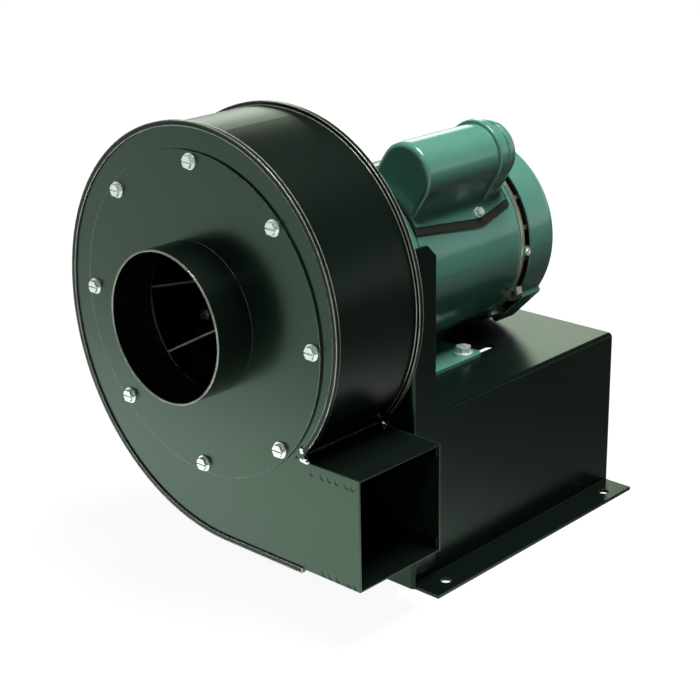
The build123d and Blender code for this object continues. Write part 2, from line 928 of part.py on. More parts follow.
def conduit_screw_places():
    reach = (conduit_length - conduit_ear_length) / 2 - conduit_sheet + slip
    return station(conduit_along) - reach, station(conduit_along) + reach


def conduit_ear(y):
    """A folded ear inside the box's end wall that takes a cover screw."""
    half_x, half_y = conduit_ear_width / 2, conduit_ear_length / 2
    low = lid_seat - conduit_ear_height
    ear = block(-half_x, half_x, y - half_y, y + half_y, low, lid_seat)
    return ear - upright(conduit_screw_radius + slip, 0, y, low - over, lid_seat + over)


def conduit_box():
    """A drawn box on the shell's far side, open outwards, with its entry hole to the rear."""
    box = conduit_form(0, lid_seat) - conduit_form(conduit_sheet, lid_seat + over)
    wall_y = station(conduit_along) + conduit_length / 2
    box -= rod(conduit_entry_radius, 0, lid_seat - conduit_entry_drop, wall_y - conduit_sheet - over,
               wall_y + over)
    for y in conduit_screw_places():
        box += conduit_ear(y)
    return spin(box - lead_hole(conduit_along), conduit_angle)


def conduit_cover():
    middle = station(conduit_along)
    half_y, half_x = conduit_length / 2 + conduit_lip, conduit_width / 2 + conduit_lip
    lid = block(-half_x, half_x, middle - half_y, middle + half_y, lid_seat, lid_seat + conduit_lid)
    lid = fillet(lid.edges().filter_by(Axis.Z), conduit_corner + conduit_lip)
    lid = fillet(lid.edges().group_by(Axis.Z)[-1], conduit_lid_round)
    for y in conduit_screw_places():
        lid -= upright(conduit_screw_radius + slip, 0, y, lid_seat - over, lid_seat + conduit_lid + over)
    return spin(lid, conduit_angle)


def conduit_screw(y):
    """A slotted pan-head screw through the lid into its ear."""
    seat = lid_seat + conduit_lid
    top, half = seat + conduit_screw_head, conduit_screw_slot / 2
    reach = conduit_screw_head_radius + over
    screw = upright(conduit_screw_head_radius, 0, y, seat, top)
    screw -= block(-reach, reach, y - half, y + half, top - conduit_screw_slot, top + over)
    screw += upright(conduit_screw_radius, 0, y, lid_seat - conduit_screw_tail, seat)
    return spin(screw, conduit_angle)


# End bells

def front_end_bell():
    """The cast drive-end bell: bearing hub, coned web with ribs, and a spigot in the shell."""
    start, rim_y = station(front_bell_start), station(shell_start)
    bearing_end = front_bearing_y + bearing_width
    spigot, bore = shell_radius - shell_sheet - slip, bearing_outer_radius + slip / 2
    rim, shoulder = shell_radius - front_rim_inset, shell_radius - front_shoulder_inset
    opening, hub = bearing_bore_radius + shaft_clearance, front_hub_radius
    cone_y, rim_start = start + front_hub_length, rim_y - front_rim_length
    cone_end = rim_start - front_shoulder_length
    bell = turned((opening, start), (hub - front_hub_bevel, start), (hub, start + front_hub_bevel),
                  (hub + front_hub_flare, cone_y), (shoulder, cone_end), (rim, rim_start),
                  (rim, rim_y), (spigot, rim_y), (spigot, rim_y + bell_spigot),
                  (spigot - bell_wall, rim_y + bell_spigot), (spigot - bell_wall, rim_start),
                  (shoulder - bell_wall, cone_end + bell_wall),
                  (bore + bell_wall, cone_y + front_shoulder_length),
                  (bore + bell_wall, bearing_end), (bore, bearing_end), (bore, front_bearing_y),
                  (opening, front_bearing_y))
    rib = make_face(Polyline((hub - front_hub_flare, start + 2 * front_hub_bevel),
                             (shoulder + front_hub_bevel, rim_start - front_hub_flare),
                             (shoulder - front_hub_flare, cone_end + front_hub_bevel),
                             (hub - front_hub_flare, cone_y + front_hub_bevel), close=True))
    rib = extrude(Pos(0, 0, shaft_height - front_rib_width / 2) * rib, amount=front_rib_width)
    for index in range(front_rib_count):
        bell += spin(rib, 360 / front_rib_count * (index + 0.5))
    for x, z in through_bolt_places():
        bell -= rod(through_bolt_radius + slip, x, z, start - over, rim_y + 2 * bell_spigot)
        bell -= rod(through_bolt_pocket, x, z, start - over, rim_start)
    return bell


def clear_of(angle, others, limit):
    """True if an angle round the shaft is at least the limit away from all the others."""
    return all(abs((angle - other + 180) % 360 - 180) >= limit for other in others)


def vent_rib():
    """A short radial rib that stands in the vent gap."""
    half, edge = rib_width / 2, shaft_height + shell_radius
    return block(-half, half, shell_end + over, cover_front + rib_tail,
                 edge - rear_cone_inset, edge + rib_step)


def screw_lug():
    """A narrow lug under the fan cover's tab for one of its radial screws."""
    half, edge = screw_lug_width / 2, shaft_height + shell_radius
    top = shaft_height + cover_inside - tab_thickness - slip
    return block(-half, half, shell_end + over / 2, cover_front + lug_tail, edge - ear_trim, top)


def screw_lug_hole():
    top = shaft_height + cover_inside
    return upright(cover_screw_radius + slip, 0, shell_end + cover_screw_along,
                   top - cover_screw_depth, top)


def corner_ear():
    """A square ear at a corner of the bell, with a bolt hole, that stands in the vent gap."""
    centre = shaft_height + shell_radius + ear_step
    face = Pos(0, centre) * Rot(0, 0, 45) * Rectangle(ear_side, ear_side)
    face &= disc_face(shell_radius + ear_trim, 0, shaft_height)
    face -= disc_face(ear_hole_radius, 0, centre)
    return slab(face, shell_end + ear_front, cover_front - ear_back)


def stud_ear():
    """The ear that carries a corner stud, which stands forward beside the shell."""
    edge, half = shaft_height + shell_radius, stud_ear_width / 2
    return block(-half, half, shell_end + over, cover_front + lug_tail, edge - ear_trim,
                 edge + stud_ear_height)


def stud_hole():
    return rod(stud_radius + slip / 2, 0, shaft_height + shell_radius + stud_step, shell_end - over,
               cover_front + lug_tail + over)


def rear_end_bell():
    """The cast rear bell: a rimmed disc with ribs, lugs and ears in the vent gap, and a baffle."""
    spigot, bore = shell_radius - shell_sheet - slip, bearing_outer_radius + slip / 2
    back, rim = shell_end + rear_bell_thickness, shell_radius + rear_rim_step
    opening, front = bearing_bore_radius + shaft_clearance, shell_end - rear_spigot
    bell = turned((spigot, front), (spigot, shell_end), (rim, shell_end),
                  (rim, shell_end + rear_rim_length), (shell_radius - rear_cone_inset, back),
                  (opening, back), (opening, back - bearing_recess), (bore, back - bearing_recess),
                  (bore, rear_bearing_y), (bore + bell_wall, rear_bearing_y),
                  (bore + bell_wall, shell_end), (spigot - bell_wall, shell_end),
                  (spigot - bell_wall, front))
    bell += ring(baffle_radius, baffle_radius - baffle_wall, back - over, back + baffle_length)
    for index in range(rib_count):
        angle = rib_phase + 360 / rib_count * index
        corners = (corner_angle, -corner_angle)
        if clear_of(angle, cover_screw_angles, rib_screw_clearance) \
                and clear_of(angle, corners, rib_corner_clearance):
            bell += spin(vent_rib(), angle)
    for angle in cover_screw_angles:
        bell += spin(screw_lug(), angle)
        bell -= spin(screw_lug_hole(), angle)
    for side in (-1, 1):
        bell += spin(corner_ear(), side * ear_angle)
        bell += spin(stud_ear(), side * stud_angle)
        bell -= spin(stud_hole(), side * stud_angle)
    for x, z in through_bolt_places():
        bell -= rod(through_bolt_radius + slip, x, z, front - over, back + over)
        bell -= rod(through_bolt_pocket, x, z, back, back + lug_tail)
    return bell


def corner_stud(side):
    x, z = around(side * stud_angle, shell_radius + stud_step)
    return rod(stud_radius, x, z, shell_end - stud_reach, cover_front + lug_tail)


def through_bolt(x, z):
    seat = station(shell_start) - front_rim_length
    bolt = rod(through_bolt_radius, x, z, seat, shell_end + rear_bell_thickness + through_bolt_tail)
    return bolt + hex_rod(through_bolt_across, x, z, seat - through_bolt_head, seat)


def through_nut(x, z):
    start = shell_end + rear_bell_thickness
    end = start + through_bolt_head
    nut = hex_rod(through_bolt_across, x, z, start, end)
    return nut - rod(through_bolt_radius + slip, x, z, start - over, end + over)


def start_switch():
    """The switch's fixed half: a board on the rear bell's inside, beside the governor."""
    inner = bearing_outer_radius + bell_wall + over
    face = disc_face(shell_radius - switch_board_inset, 0, shaft_height)
    face -= disc_face(inner, 0, shaft_height)
    face &= Pos(0, shaft_height + shell_radius / 2) * Rectangle(switch_board_width, shell_radius)
    board = slab(face, shell_end - switch_board, shell_end)
    low, half = shaft_height + inner + switch_block_gap, switch_block_width / 2
    return board + block(-half, half, shell_end - switch_board - switch_block_length,
                         shell_end - switch_board, low, low + switch_block_height)


# Cooling fan and its cover

def cooling_fan():
    """The outside fan: a hub, a thin disc and straight paddles."""
    rim, end = cover_radius - fan_clearance, fan_front + fan_length
    disc_start = fan_front + fan_disc
    disc_end = disc_start + fan_disc
    fan = ring(fan_hub_radius, fan_seat_radius + slip / 2, fan_front, end - fan_seat_gap)
    fan += ring(rim, fan_hub_radius - over, disc_start, disc_end)
    paddle = block(-fan_blade / 2, fan_blade / 2, disc_end - over, end,
                   shaft_height + fan_hub_radius - over, shaft_height + rim - over)
    for index in range(fan_blade_count):
        fan += spin(paddle, 360 / fan_blade_count * index)
    return fan


def cover_body(inset, open_end):
    """The cover's form at an inset: a drum with a rounded back and two flat-topped corners."""
    radius = cover_radius - inset
    drum = ring(radius, 0, open_end, cover_front + cover_length - inset)
    edge = drum.edges().filter_by(GeomType.CIRCLE).sort_by(Axis.Y)[-1]
    drum = fillet(edge, cover_round - inset)
    half = hump_width / 2 - inset
    hump = block(-half, half, open_end, cover_front + hump_length - inset,
                 shaft_height + radius - hump_root, shaft_height + radius + hump_height)
    top_edges = hump.edges().filter_by(Axis.Y).sort_by(Axis.Z)[-2:]
    back_edge = hump.edges().filter_by(Axis.X).group_by(Axis.Z)[-1].sort_by(Axis.Y)[-1]
    hump = fillet(top_edges + [back_edge], hump_round - inset)
    for side in (-1, 1):
        drum += spin(hump, side * corner_angle)
    return drum


def cover_tab():
    """A tab inside the cover's edge that reaches forward over its lug and takes the screw."""
    half, top = tab_width / 2, shaft_height + cover_inside + slip
    tab = block(-half, half, cover_front - tab_reach, cover_front + tab_root,
                shaft_height + cover_inside - tab_thickness, top)
    return tab - upright(cover_screw_radius + slip, 0, shell_end + cover_screw_along,
                         top - 2 * tab_thickness, top + over)


def grille_slot(circle, half_angle):
    """A slot in the cover's back that follows its circle over twice the half angle."""
    back = cover_front + cover_length
    outer, inner = circle + grille_slot_width / 2, circle - grille_slot_width / 2
    edges = [ThreePointArc(around(-half_angle, outer), around(0, outer), around(half_angle, outer)),
             Line(around(half_angle, outer), around(half_angle, inner)),
             ThreePointArc(around(half_angle, inner), around(0, inner), around(-half_angle, inner)),
             Line(around(-half_angle, inner), around(-half_angle, outer))]
    return slab(make_face(edges), back - cover_sheet - over, back + over)


def fan_cover():
    """The drawn cover, open towards the shell, with slots in its back and three screw tabs."""
    cover = cover_body(0, cover_front) - cover_body(cover_sheet, cover_front - over)
    for circle, half_angle in grille_rows:
        slot = grille_slot(circle, half_angle)
        for index in range(grille_slot_count):
            cover -= spin(slot, 360 / grille_slot_count * index)
    for angle in cover_screw_angles:
        cover += spin(cover_tab(), angle)
    return cover


def cover_screw(angle):
    """A pan-head screw with a round recess, down through the tab into its lug."""
    seat, y = shaft_height + cover_inside + slip, shell_end + cover_screw_along
    top = seat + cover_screw_head
    screw = upright(cover_screw_head_radius, 0, y, seat, top)
    screw -= upright(cover_screw_recess_radius, 0, y, top - cover_screw_recess, top + over)
    screw += upright(cover_screw_radius, 0, y, seat - cover_screw_depth, seat)
    return spin(screw, angle)


# Capacitor, its cover, gasket and screws

def can_profile(grow):
    """The cover's section at the top of the shaft axis: straight sides and a half-round top."""
    half, low = can_radius + grow, shaft_height + shell_radius * can_root_share
    centre = shaft_height + shell_radius + can_rise
    edges = [Line((-half, low), (half, low)), Line((half, low), (half, centre)),
             ThreePointArc((half, centre), (0, centre + half), (-half, centre)),
             Line((-half, centre), (-half, low))]
    return make_face(edges)


def can_form(grow, y_start, y_end, front_round, back_round):
    """The can's form with its section grown, between two places, its end edges rounded."""
    can = slab(can_profile(grow), y_start, y_end)
    for y, radius in ((y_start, front_round), (y_end, back_round)):
        rims = [edge for edge in can.edges() if abs(edge.center().Y - y) < near
                and edge.center().Z > shaft_height + shell_radius]
        can = fillet(rims, radius)
    return can


def can_ends():
    return station(can_start), station(can_start + can_length)


def saddle_sheet(inner, thickness, front_grow, screw_grow, back_grow, front_reach, back_reach):
    """A curved sheet that hugs the shell under the can, widest at its screws."""
    start, end = can_ends()
    start, end = start - front_reach, end + back_reach
    screw_y = station(can_start + skirt_screw_along)
    radius = shell_radius + gasket_thickness
    wide = radius * math.sin(math.radians(skirt_wide_angle)) + screw_grow
    narrow = radius * math.sin(math.radians(skirt_end_angle))
    half = skirt_wide_length / 2
    right = [(narrow + front_grow, start), (wide, screw_y - half), (wide, screw_y + half),
             (narrow + back_grow, end)]
    left = [(-x, y) for x, y in reversed(right)]
    outline = make_face(Polyline(*right, *left, close=True))
    prism = Pos(0, 0, shaft_height) * extrude(outline, amount=2 * shell_radius)
    return ring(inner + thickness, inner, start, end) & prism


def skirt_screw_hole(side):
    low = shaft_height + shell_radius - over
    hole = upright(skirt_screw_radius + 2 * slip, 0, station(can_start + skirt_screw_along), low,
                   low + 2 * shell_sheet + gasket_thickness + can_sheet)
    return spin(hole, side * skirt_screw_angle)


def capacitor_cover():
    """The drawn cover: a half-round can with a bead and a ridge, and a skirt round its foot."""
    start, end = can_ends()
    seat = shell_radius + gasket_thickness
    outer = can_form(0, start, end, can_front_round, can_back_round)
    bead_y, ridge_y = start + bead_start, start + ridge_start
    outer += can_form(bead_height, bead_y, bead_y + bead_width, bead_round, bead_round)
    outer += can_form(ridge_height, ridge_y, ridge_y + ridge_width, ridge_round, ridge_round)
    inner = can_form(-can_sheet, start + can_sheet, end - can_sheet, can_front_round - can_sheet,
                     can_back_round - can_sheet)
    skirt = saddle_sheet(seat, can_sheet, 0, 0, 0, 0, 0)
    skirt -= slab(can_profile(-can_sheet), start + can_sheet, end - can_sheet)
    cover = outer - inner - ring(seat, 0, start - over, end + over) + skirt
    for side in (-1, 1):
        cover -= skirt_screw_hole(side)
    return spin(cover, can_angle)


def cover_gasket():
    """The dark rubber sheet between the skirt and the shell, cut out under the can."""
    start, end = can_ends()
    strip = saddle_sheet(shell_radius, gasket_thickness, gasket_front_grow, gasket_screw_grow,
                         gasket_back_grow, gasket_front_reach, gasket_back_reach)
    strip -= slab(can_profile(-gasket_border), start + gasket_border, end - gasket_border)
    for side in (-1, 1):
        strip -= skirt_screw_hole(side)
    return spin(strip, can_angle)


def skirt_screw(side):
    """A slotted hex screw with a washer face on the skirt."""
    seat = shaft_height + shell_radius + gasket_thickness + can_sheet + slip
    y, hex_start = station(can_start + skirt_screw_along), seat + skirt_washer
    top, half = hex_start + skirt_screw_head, skirt_screw_slot / 2
    screw = hex_upright(skirt_screw_across, 0, y, hex_start, top)
    screw += upright(skirt_washer_radius, 0, y, seat, hex_start)
    screw += upright(skirt_screw_radius, 0, y, shaft_height + shell_radius + slip, seat)
    screw -= block(-skirt_washer_radius, skirt_washer_radius, y - half, y + half,
                   top - skirt_screw_slot_depth, top + over)
    return spin(screw, side * skirt_screw_angle + can_angle)


def capacitor():
    """A round case lying on the shell, with two spade terminals at its rear."""
    start = station(can_start) + capacitor_inset
    end = start + capacitor_length
    z = shaft_height + shell_radius + capacitor_radius + capacitor_gap
    half_width, half_thickness = terminal_width / 2, terminal_thickness / 2
    case = rod(capacitor_radius, 0, z, start, end)
    for x in (-terminal_spacing / 2, terminal_spacing / 2):
        case += block(x - half_width, x + half_width, end - over, end + terminal_length,
                      z - half_thickness, z + half_thickness)
    return spin(case, can_angle)


# Motor base, pedestal, bracket and fasteners

def foot_bolt_places():
    half_x, half_y = foot_bolt_spacing_x / 2, foot_bolt_spacing_y / 2
    return [(side_x * half_x, base_middle_y + side_y * half_y)
            for side_x in (-1, 1) for side_y in (-1, 1)]


def motor_base():
    """The stamped base: a flat plate with four bolt corners and two saddles up to the shell."""
    start, end = station(base_start), station(base_start + base_length)
    half, top = foot_bolt_spacing_x / 2 + base_edge, pedestal_height + base_plate
    plate = block(-half, half, start, end, pedestal_height, top)
    plate = fillet(plate.edges().filter_by(Axis.Z), base_corner)
    for side in (-1, 1):
        x = side * saddle_half_width
        plate += block(x - base_plate / 2, x + base_plate / 2, base_middle_y - saddle_length / 2,
                       base_middle_y + saddle_length / 2, top - over, shaft_height)
    plate -= ring(shell_radius + slip, 0, start - base_length, end + base_length)
    for x, y in foot_bolt_places():
        plate -= upright(bolt_radius + foot_hole_gap, x, y, pedestal_height - over, top + over)
    return plate


def foot_bolt(x, y):
    """A hex bolt and its flat washer on the motor foot."""
    seat = pedestal_height + base_plate
    head_start = seat + washer_thickness
    bolt = upright(washer_radius, x, y, seat, head_start)
    bolt += hex_upright(bolt_across, x, y, head_start, head_start + bolt_head)
    return bolt + upright(bolt_radius, x, y, pedestal_height - foot_bolt_tail, seat)


def foot_nut(x, y):
    """A flat washer and hex nut under the pedestal's top."""
    seat = pedestal_height - pedestal_sheet
    washer_end = seat - washer_thickness
    nut = upright(slot_washer_radius, x, y, washer_end, seat)
    nut += hex_upright(bolt_across, x, y, washer_end - nut_height, washer_end)
    return nut - upright(bolt_radius + slip, x, y, washer_end - nut_height - over, seat + over)


def pedestal():
    """An inverted channel with out-turned feet, folded from one sheet."""
    outer, inner = pedestal_half_width, pedestal_half_width - pedestal_sheet
    foot, thick, top = pedestal_half_width + foot_width, pedestal_sheet, pedestal_height
    right = [(foot, 0), (foot, thick), (outer, thick), (outer, top)]
    left = [(-x, z) for x, z in reversed(right)]
    inside = [(-inner, 0), (-inner, top - thick), (inner, top - thick), (inner, 0)]
    face = make_face(Polyline(*right, *left, *inside, close=True))
    bend = pedestal_bend
    for side in (-1, 1):
        face = round_corners(face, ((side * outer, thick, bend), (side * inner, 0, bend + thick),
                                    (side * outer, top, bend + thick),
                                    (side * inner, top - thick, bend)))
    body = slab(face, pedestal_front, -pedestal_front)
    for x in (-base_spacing_x / 2, base_spacing_x / 2):
        for y in (-base_spacing_y / 2, base_spacing_y / 2):
            body -= upright(base_hole_radius, x, y, -over, thick + over)
    slot = extrude(SlotOverall(slot_length, slot_width, rotation=90), amount=thick + 2 * over)
    for x, y in foot_bolt_places():
        body -= Pos(x, y + slot_shift, top - thick - over) * slot
    return body


def support_bracket():
    """A folded plate across the pedestal's front, its flanges round the pedestal's sides."""
    inner = pedestal_half_width + bracket_gap
    outer, flange_end = inner + bracket_sheet, bracket_front + bracket_flange
    top = shaft_height + bracket_rise
    points = ((-outer, flange_end), (-outer, bracket_front), (outer, bracket_front),
              (outer, flange_end), (inner, flange_end), (inner, bracket_back),
              (-inner, bracket_back), (-inner, flange_end))
    face = make_face(Polyline(*points, close=True))
    for side in (-1, 1):
        face = round_corners(face, ((side * outer, bracket_front, bracket_bend + bracket_sheet),
                                    (side * inner, bracket_back, bracket_bend)))
    body = Pos(0, 0, bracket_bottom) * extrude(face, amount=top - bracket_bottom)
    body -= block(-outer - over, outer + over, bracket_back, flange_end + over, 0, bracket_flange_bottom)
    for side in (-1, 1):
        edges = [edge for edge in body.edges().filter_by(Axis.X)
                 if edge.center().X * side > 0 and abs(edge.center().Y - flange_end) < near
                 and abs(edge.center().Z - top) < near]
        body = chamfer(edges, bracket_chamfer)
    body -= ring(bracket_opening_radius, 0, bracket_front - over, bracket_back + over)
    for x, z in housing_bolt_places():
        body -= rod(bolt_radius + slip, x, z, bracket_front - over, bracket_back + over)
    return body


def bracket_weld(side, z_start):
    """A fillet bead down the rear edge of a bracket flange, on the pedestal's side."""
    edge_y = bracket_front + bracket_flange + slip
    root, toe = side * pedestal_half_width, side * (pedestal_half_width + bracket_weld_leg)
    section = Polyline((root, edge_y), (toe, edge_y), (root, edge_y + bracket_weld_reach), close=True)
    return Pos(0, 0, z_start) * extrude(make_face(section), amount=bracket_weld_length)


def bracket_weld_places():
    return [(side, z) for side in (-1, 1)
            for z in (bracket_weld_low, pedestal_height - bracket_weld_drop)]


def housing_spacer(x, z):
    spacer = rod(spacer_radius, x, z, plate_back, bracket_front)
    return spacer - rod(bolt_radius + slip, x, z, plate_back - over, bracket_front + over)


def housing_bolt(x, z):
    """A low round-headed bolt from inside the housing through the spacer and the bracket."""
    head = rod(round_head_radius, x, z, plate_inner_back - round_head, plate_inner_back)
    edge = head.edges().filter_by(GeomType.CIRCLE).sort_by(Axis.Y)[0]
    head = chamfer(edge, round_head_bevel)
    return head + rod(bolt_radius, x, z, plate_inner_back, bracket_back + housing_bolt_tail)


def housing_nut(x, z):
    """A flat washer and hex nut behind the bracket."""
    washer_end = bracket_back + washer_thickness
    end = washer_end + nut_height
    nut = rod(washer_radius, x, z, bracket_back, washer_end)
    nut += hex_rod(bolt_across, x, z, washer_end, end)
    return nut - rod(bolt_radius + slip, x, z, bracket_back - over, end + over)


# Write every sub-part

os.makedirs("parts", exist_ok=True)

save("scroll_wrapper", scroll_wrapper())
save("front_side_plate", front_side_plate())
save("rear_side_plate", rear_side_plate())
save("outlet_roof", outlet_roof())
save("cutoff_welds", *cutoff_welds())
save("inlet_plate", inlet_plate())
save("inlet_collar", inlet_collar())
save("collar_weld", collar_weld())
save("inlet_screws", *[inlet_screw(x, z) for x, z in inlet_screw_places()])
save("inlet_nuts", *[inlet_nut(x, z) for x, z in inlet_screw_places()])

save("wheel_backplate", wheel_backplate())
save("wheel_shroud", wheel_shroud())
save("wheel_blades", *[wheel_blade(index) for index in range(blade_count)])
save("wheel_hub", wheel_hub())
save("hub_set_screw", hub_screw(slip))
save("hub_rivets", *[hub_rivet(x, z) for x, z in hub_rivet_places()])
save("balance_weight", balance_weight())
save("shaft_key", shaft_key())

save("motor_shaft", motor_shaft())
save("front_bearing_inner", bearing_inner(front_bearing_y))
save("front_bearing_outer", bearing_outer(front_bearing_y))
save("front_bearing_balls", *bearing_balls(front_bearing_y))
save("front_bearing_cage", bearing_cage(front_bearing_y))
save("rear_bearing_inner", bearing_inner(rear_bearing_y))
save("rear_bearing_outer", bearing_outer(rear_bearing_y))
save("rear_bearing_balls", *bearing_balls(rear_bearing_y))
save("rear_bearing_cage", bearing_cage(rear_bearing_y))
save("rotor_core", rotor_core())
save("rotor_end_rings", rotor_end_ring(station(stack_start) - rotor_ring_length),
     rotor_end_ring(station(stack_start + stack_length)))
save("start_governor", start_governor())
save("cooling_fan", cooling_fan())

save("motor_shell", motor_shell())
save("stator_core", stator_core())
save("stator_windings", winding(station(stack_start), -1),
     winding(station(stack_start + stack_length), 1))
save("start_switch", start_switch())
save("conduit_box", conduit_box())
save("conduit_cover", conduit_cover())
save("conduit_screws", *[conduit_screw(y) for y in conduit_screw_places()])
save("front_end_bell", front_end_bell())
save("rear_end_bell", rear_end_bell())
save("through_bolts", *[through_bolt(x, z) for x, z in through_bolt_places()])
save("through_nuts", *[through_nut(x, z) for x, z in through_bolt_places()])
save("fan_cover", fan_cover())
save("fan_cover_screws", *[cover_screw(angle) for angle in cover_screw_angles])
save("corner_studs", corner_stud(-1), corner_stud(1))
save("capacitor", capacitor())
save("capacitor_cover", capacitor_cover())
save("capacitor_gasket", cover_gasket())
save("capacitor_screws", skirt_screw(-1), skirt_screw(1))
save("motor_base", motor_base())
save("motor_foot_bolts", *[foot_bolt(x, y) for x, y in foot_bolt_places()])
save("motor_foot_nuts", *[foot_nut(x, y) for x, y in foot_bolt_places()])

save("pedestal", pedestal())
save("support_bracket", support_bracket())
save("bracket_welds", *[bracket_weld(side, z) for side, z in bracket_weld_places()])
save("housing_spacers", *[housing_spacer(x, z) for x, z in housing_bolt_places()])
save("housing_bolts", *[housing_bolt(x, z) for x, z in housing_bolt_places()])
save("housing_nuts", *[housing_nut(x, z) for x, z in housing_bolt_places()])
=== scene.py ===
import json
import math

import bmesh
import bpy
from mathutils import Euler, Matrix, Vector, noise


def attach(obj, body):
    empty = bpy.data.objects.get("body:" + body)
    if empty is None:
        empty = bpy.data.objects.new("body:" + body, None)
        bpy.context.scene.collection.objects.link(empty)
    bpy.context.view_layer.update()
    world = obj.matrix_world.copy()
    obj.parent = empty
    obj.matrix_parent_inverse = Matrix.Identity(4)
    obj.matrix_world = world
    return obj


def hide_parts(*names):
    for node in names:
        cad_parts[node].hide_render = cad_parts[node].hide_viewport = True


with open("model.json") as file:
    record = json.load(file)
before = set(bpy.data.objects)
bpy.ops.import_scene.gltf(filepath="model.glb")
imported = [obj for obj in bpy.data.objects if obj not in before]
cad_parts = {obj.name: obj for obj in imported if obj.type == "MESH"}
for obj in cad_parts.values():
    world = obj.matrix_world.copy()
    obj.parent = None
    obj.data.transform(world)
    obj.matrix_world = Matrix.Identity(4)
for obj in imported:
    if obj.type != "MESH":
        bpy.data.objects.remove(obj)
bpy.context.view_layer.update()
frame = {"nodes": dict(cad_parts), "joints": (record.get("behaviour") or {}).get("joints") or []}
nodes = frame["nodes"]
scene = bpy.context.scene
scene.view_settings.view_transform = "Standard"


# Camera
# A long lens in front of the blower and to its right, a little above it, as a
# catalogue photograph is taken.
camera_azimuth = 42.98
camera_elevation = 20.01
camera_roll = -0.91
camera_place = (0.9364, -1.0766, 0.6635)
camera_data = bpy.data.cameras.new("camera")
camera_data.sensor_width = 36.0
camera_data.lens = 83.93
camera = bpy.data.objects.new("camera", camera_data)
scene.collection.objects.link(camera)
aim = Euler((math.radians(90.0 - camera_elevation), 0.0, math.radians(camera_azimuth)))
turn = aim.to_matrix() @ Matrix.Rotation(math.radians(camera_roll), 3, "Z")
camera.matrix_world = Matrix.Translation(camera_place) @ turn.to_4x4()
scene.camera = camera


# Studio
# Softboxes overhead, over the camera and low behind at the left, in a room that is
# white round the blower and turns grey towards its ceiling.
studio_centre = (0.0, 0.0, 0.22)
white_light = (1.0, 1.0, 1.0)
greenish_light = (0.86, 1.0, 0.80)
softboxes = (("top_softbox", (0.42, 0.05, 2.0), 0.8, 0.8, 54.0, white_light),
             ("camera_softbox", (0.75, -1.65, 1.55), 0.25, 0.25, 3.5, white_light),
             ("left_softbox", (-1.5, 1.45, 0.95), 1.5, 0.7, 9.4, greenish_light))
white_up_to = 0.06
grey_from = 0.34
ceiling_grey = 0.04
fill_strength = 0.06


def soft_lamp(name, place, width, height, power, tint):
    """A softbox at a place, its size in metres and its power in watts, facing the blower."""
    data = bpy.data.lights.new(name, "AREA")
    data.shape = "RECTANGLE"
    data.color = tint
    data.size, data.size_y, data.energy = width, height, power
    lamp = bpy.data.objects.new(name, data)
    facing = (Vector(studio_centre) - Vector(place)).to_track_quat("-Z", "Y")
    lamp.matrix_world = Matrix.Translation(place) @ facing.to_matrix().to_4x4()
    scene.collection.objects.link(lamp)


def rgb(red, green, blue):
    return (red, green, blue, 1.0)


def grey(level):
    return rgb(level, level, level)


class Socket:
    """One output of a node. Arithmetic on it adds Math nodes to its recipe."""

    def __init__(self, recipe, output):
        self.recipe = recipe
        self.output = output

    def math(self, operation, *inputs):
        return self.recipe.node("ShaderNodeMath", {"operation": operation},
                                dict(enumerate(inputs)))

    def __add__(self, other):
        return self.math("ADD", self, other)

    def __radd__(self, other):
        return self.math("ADD", other, self)

    def __sub__(self, other):
        return self.math("SUBTRACT", self, other)

    def __rsub__(self, other):
        return self.math("SUBTRACT", other, self)

    def __mul__(self, other):
        return self.math("MULTIPLY", self, other)

    def __rmul__(self, other):
        return self.math("MULTIPLY", other, self)

    def __pow__(self, other):
        return self.math("POWER", self, other)

    def __gt__(self, other):
        return self.math("GREATER_THAN", self, other)

    def __lt__(self, other):
        return self.math("LESS_THAN", self, other)


class Recipe:
    """A node tree whose nodes all come from one method."""

    def __init__(self, tree):
        self.tree = tree

    def node(self, kind, settings, sockets, output=0):
        """Add a node, set it up, then fill its sockets with values or links."""
        made = self.tree.nodes.new(kind)
        for name, value in settings.items():
            if name == "stops":
                ramp = made.color_ramp
                ramp.elements[0].position, ramp.elements[0].color = value[0]
                ramp.elements[1].position, ramp.elements[1].color = value[-1]
                for place, colour in value[1:-1]:
                    ramp.elements.new(place).color = colour
            else:
                setattr(made, name, value)
        self.fill(made, sockets)
        return Socket(self, made.outputs[output])

    def fill(self, made, sockets):
        """Give a node's sockets their values, or link other nodes' outputs to them."""
        for name, value in sockets.items():
            if isinstance(value, Socket):
                self.tree.links.new(value.output, made.inputs[name])
            else:
                made.inputs[name].default_value = value

    def ramp(self, value, *stops):
        """A value turned into a level that runs straight from stop to stop."""
        stops = [(place, grey(level)) for place, level in stops]
        return self.node("ShaderNodeValToRGB", {"stops": stops}, {"Fac": value})

    def mix(self, factor, first, second):
        """The first colour where the factor is 0, the second where it is 1."""
        return self.node("ShaderNodeMix", {"data_type": "RGBA"},
                         {0: factor, 6: first, 7: second}, 2)

    def seen(self):
        """1 for the rays that show a background: the camera's, in gloss and through glass."""
        path = self.node("ShaderNodeLightPath", {}, {}, "Is Camera Ray")
        gloss = self.node("ShaderNodeLightPath", {}, {}, "Is Glossy Ray")
        glass = self.node("ShaderNodeLightPath", {}, {}, "Is Transmission Ray")
        return path.math("MAXIMUM", path.math("MAXIMUM", path, gloss), glass)


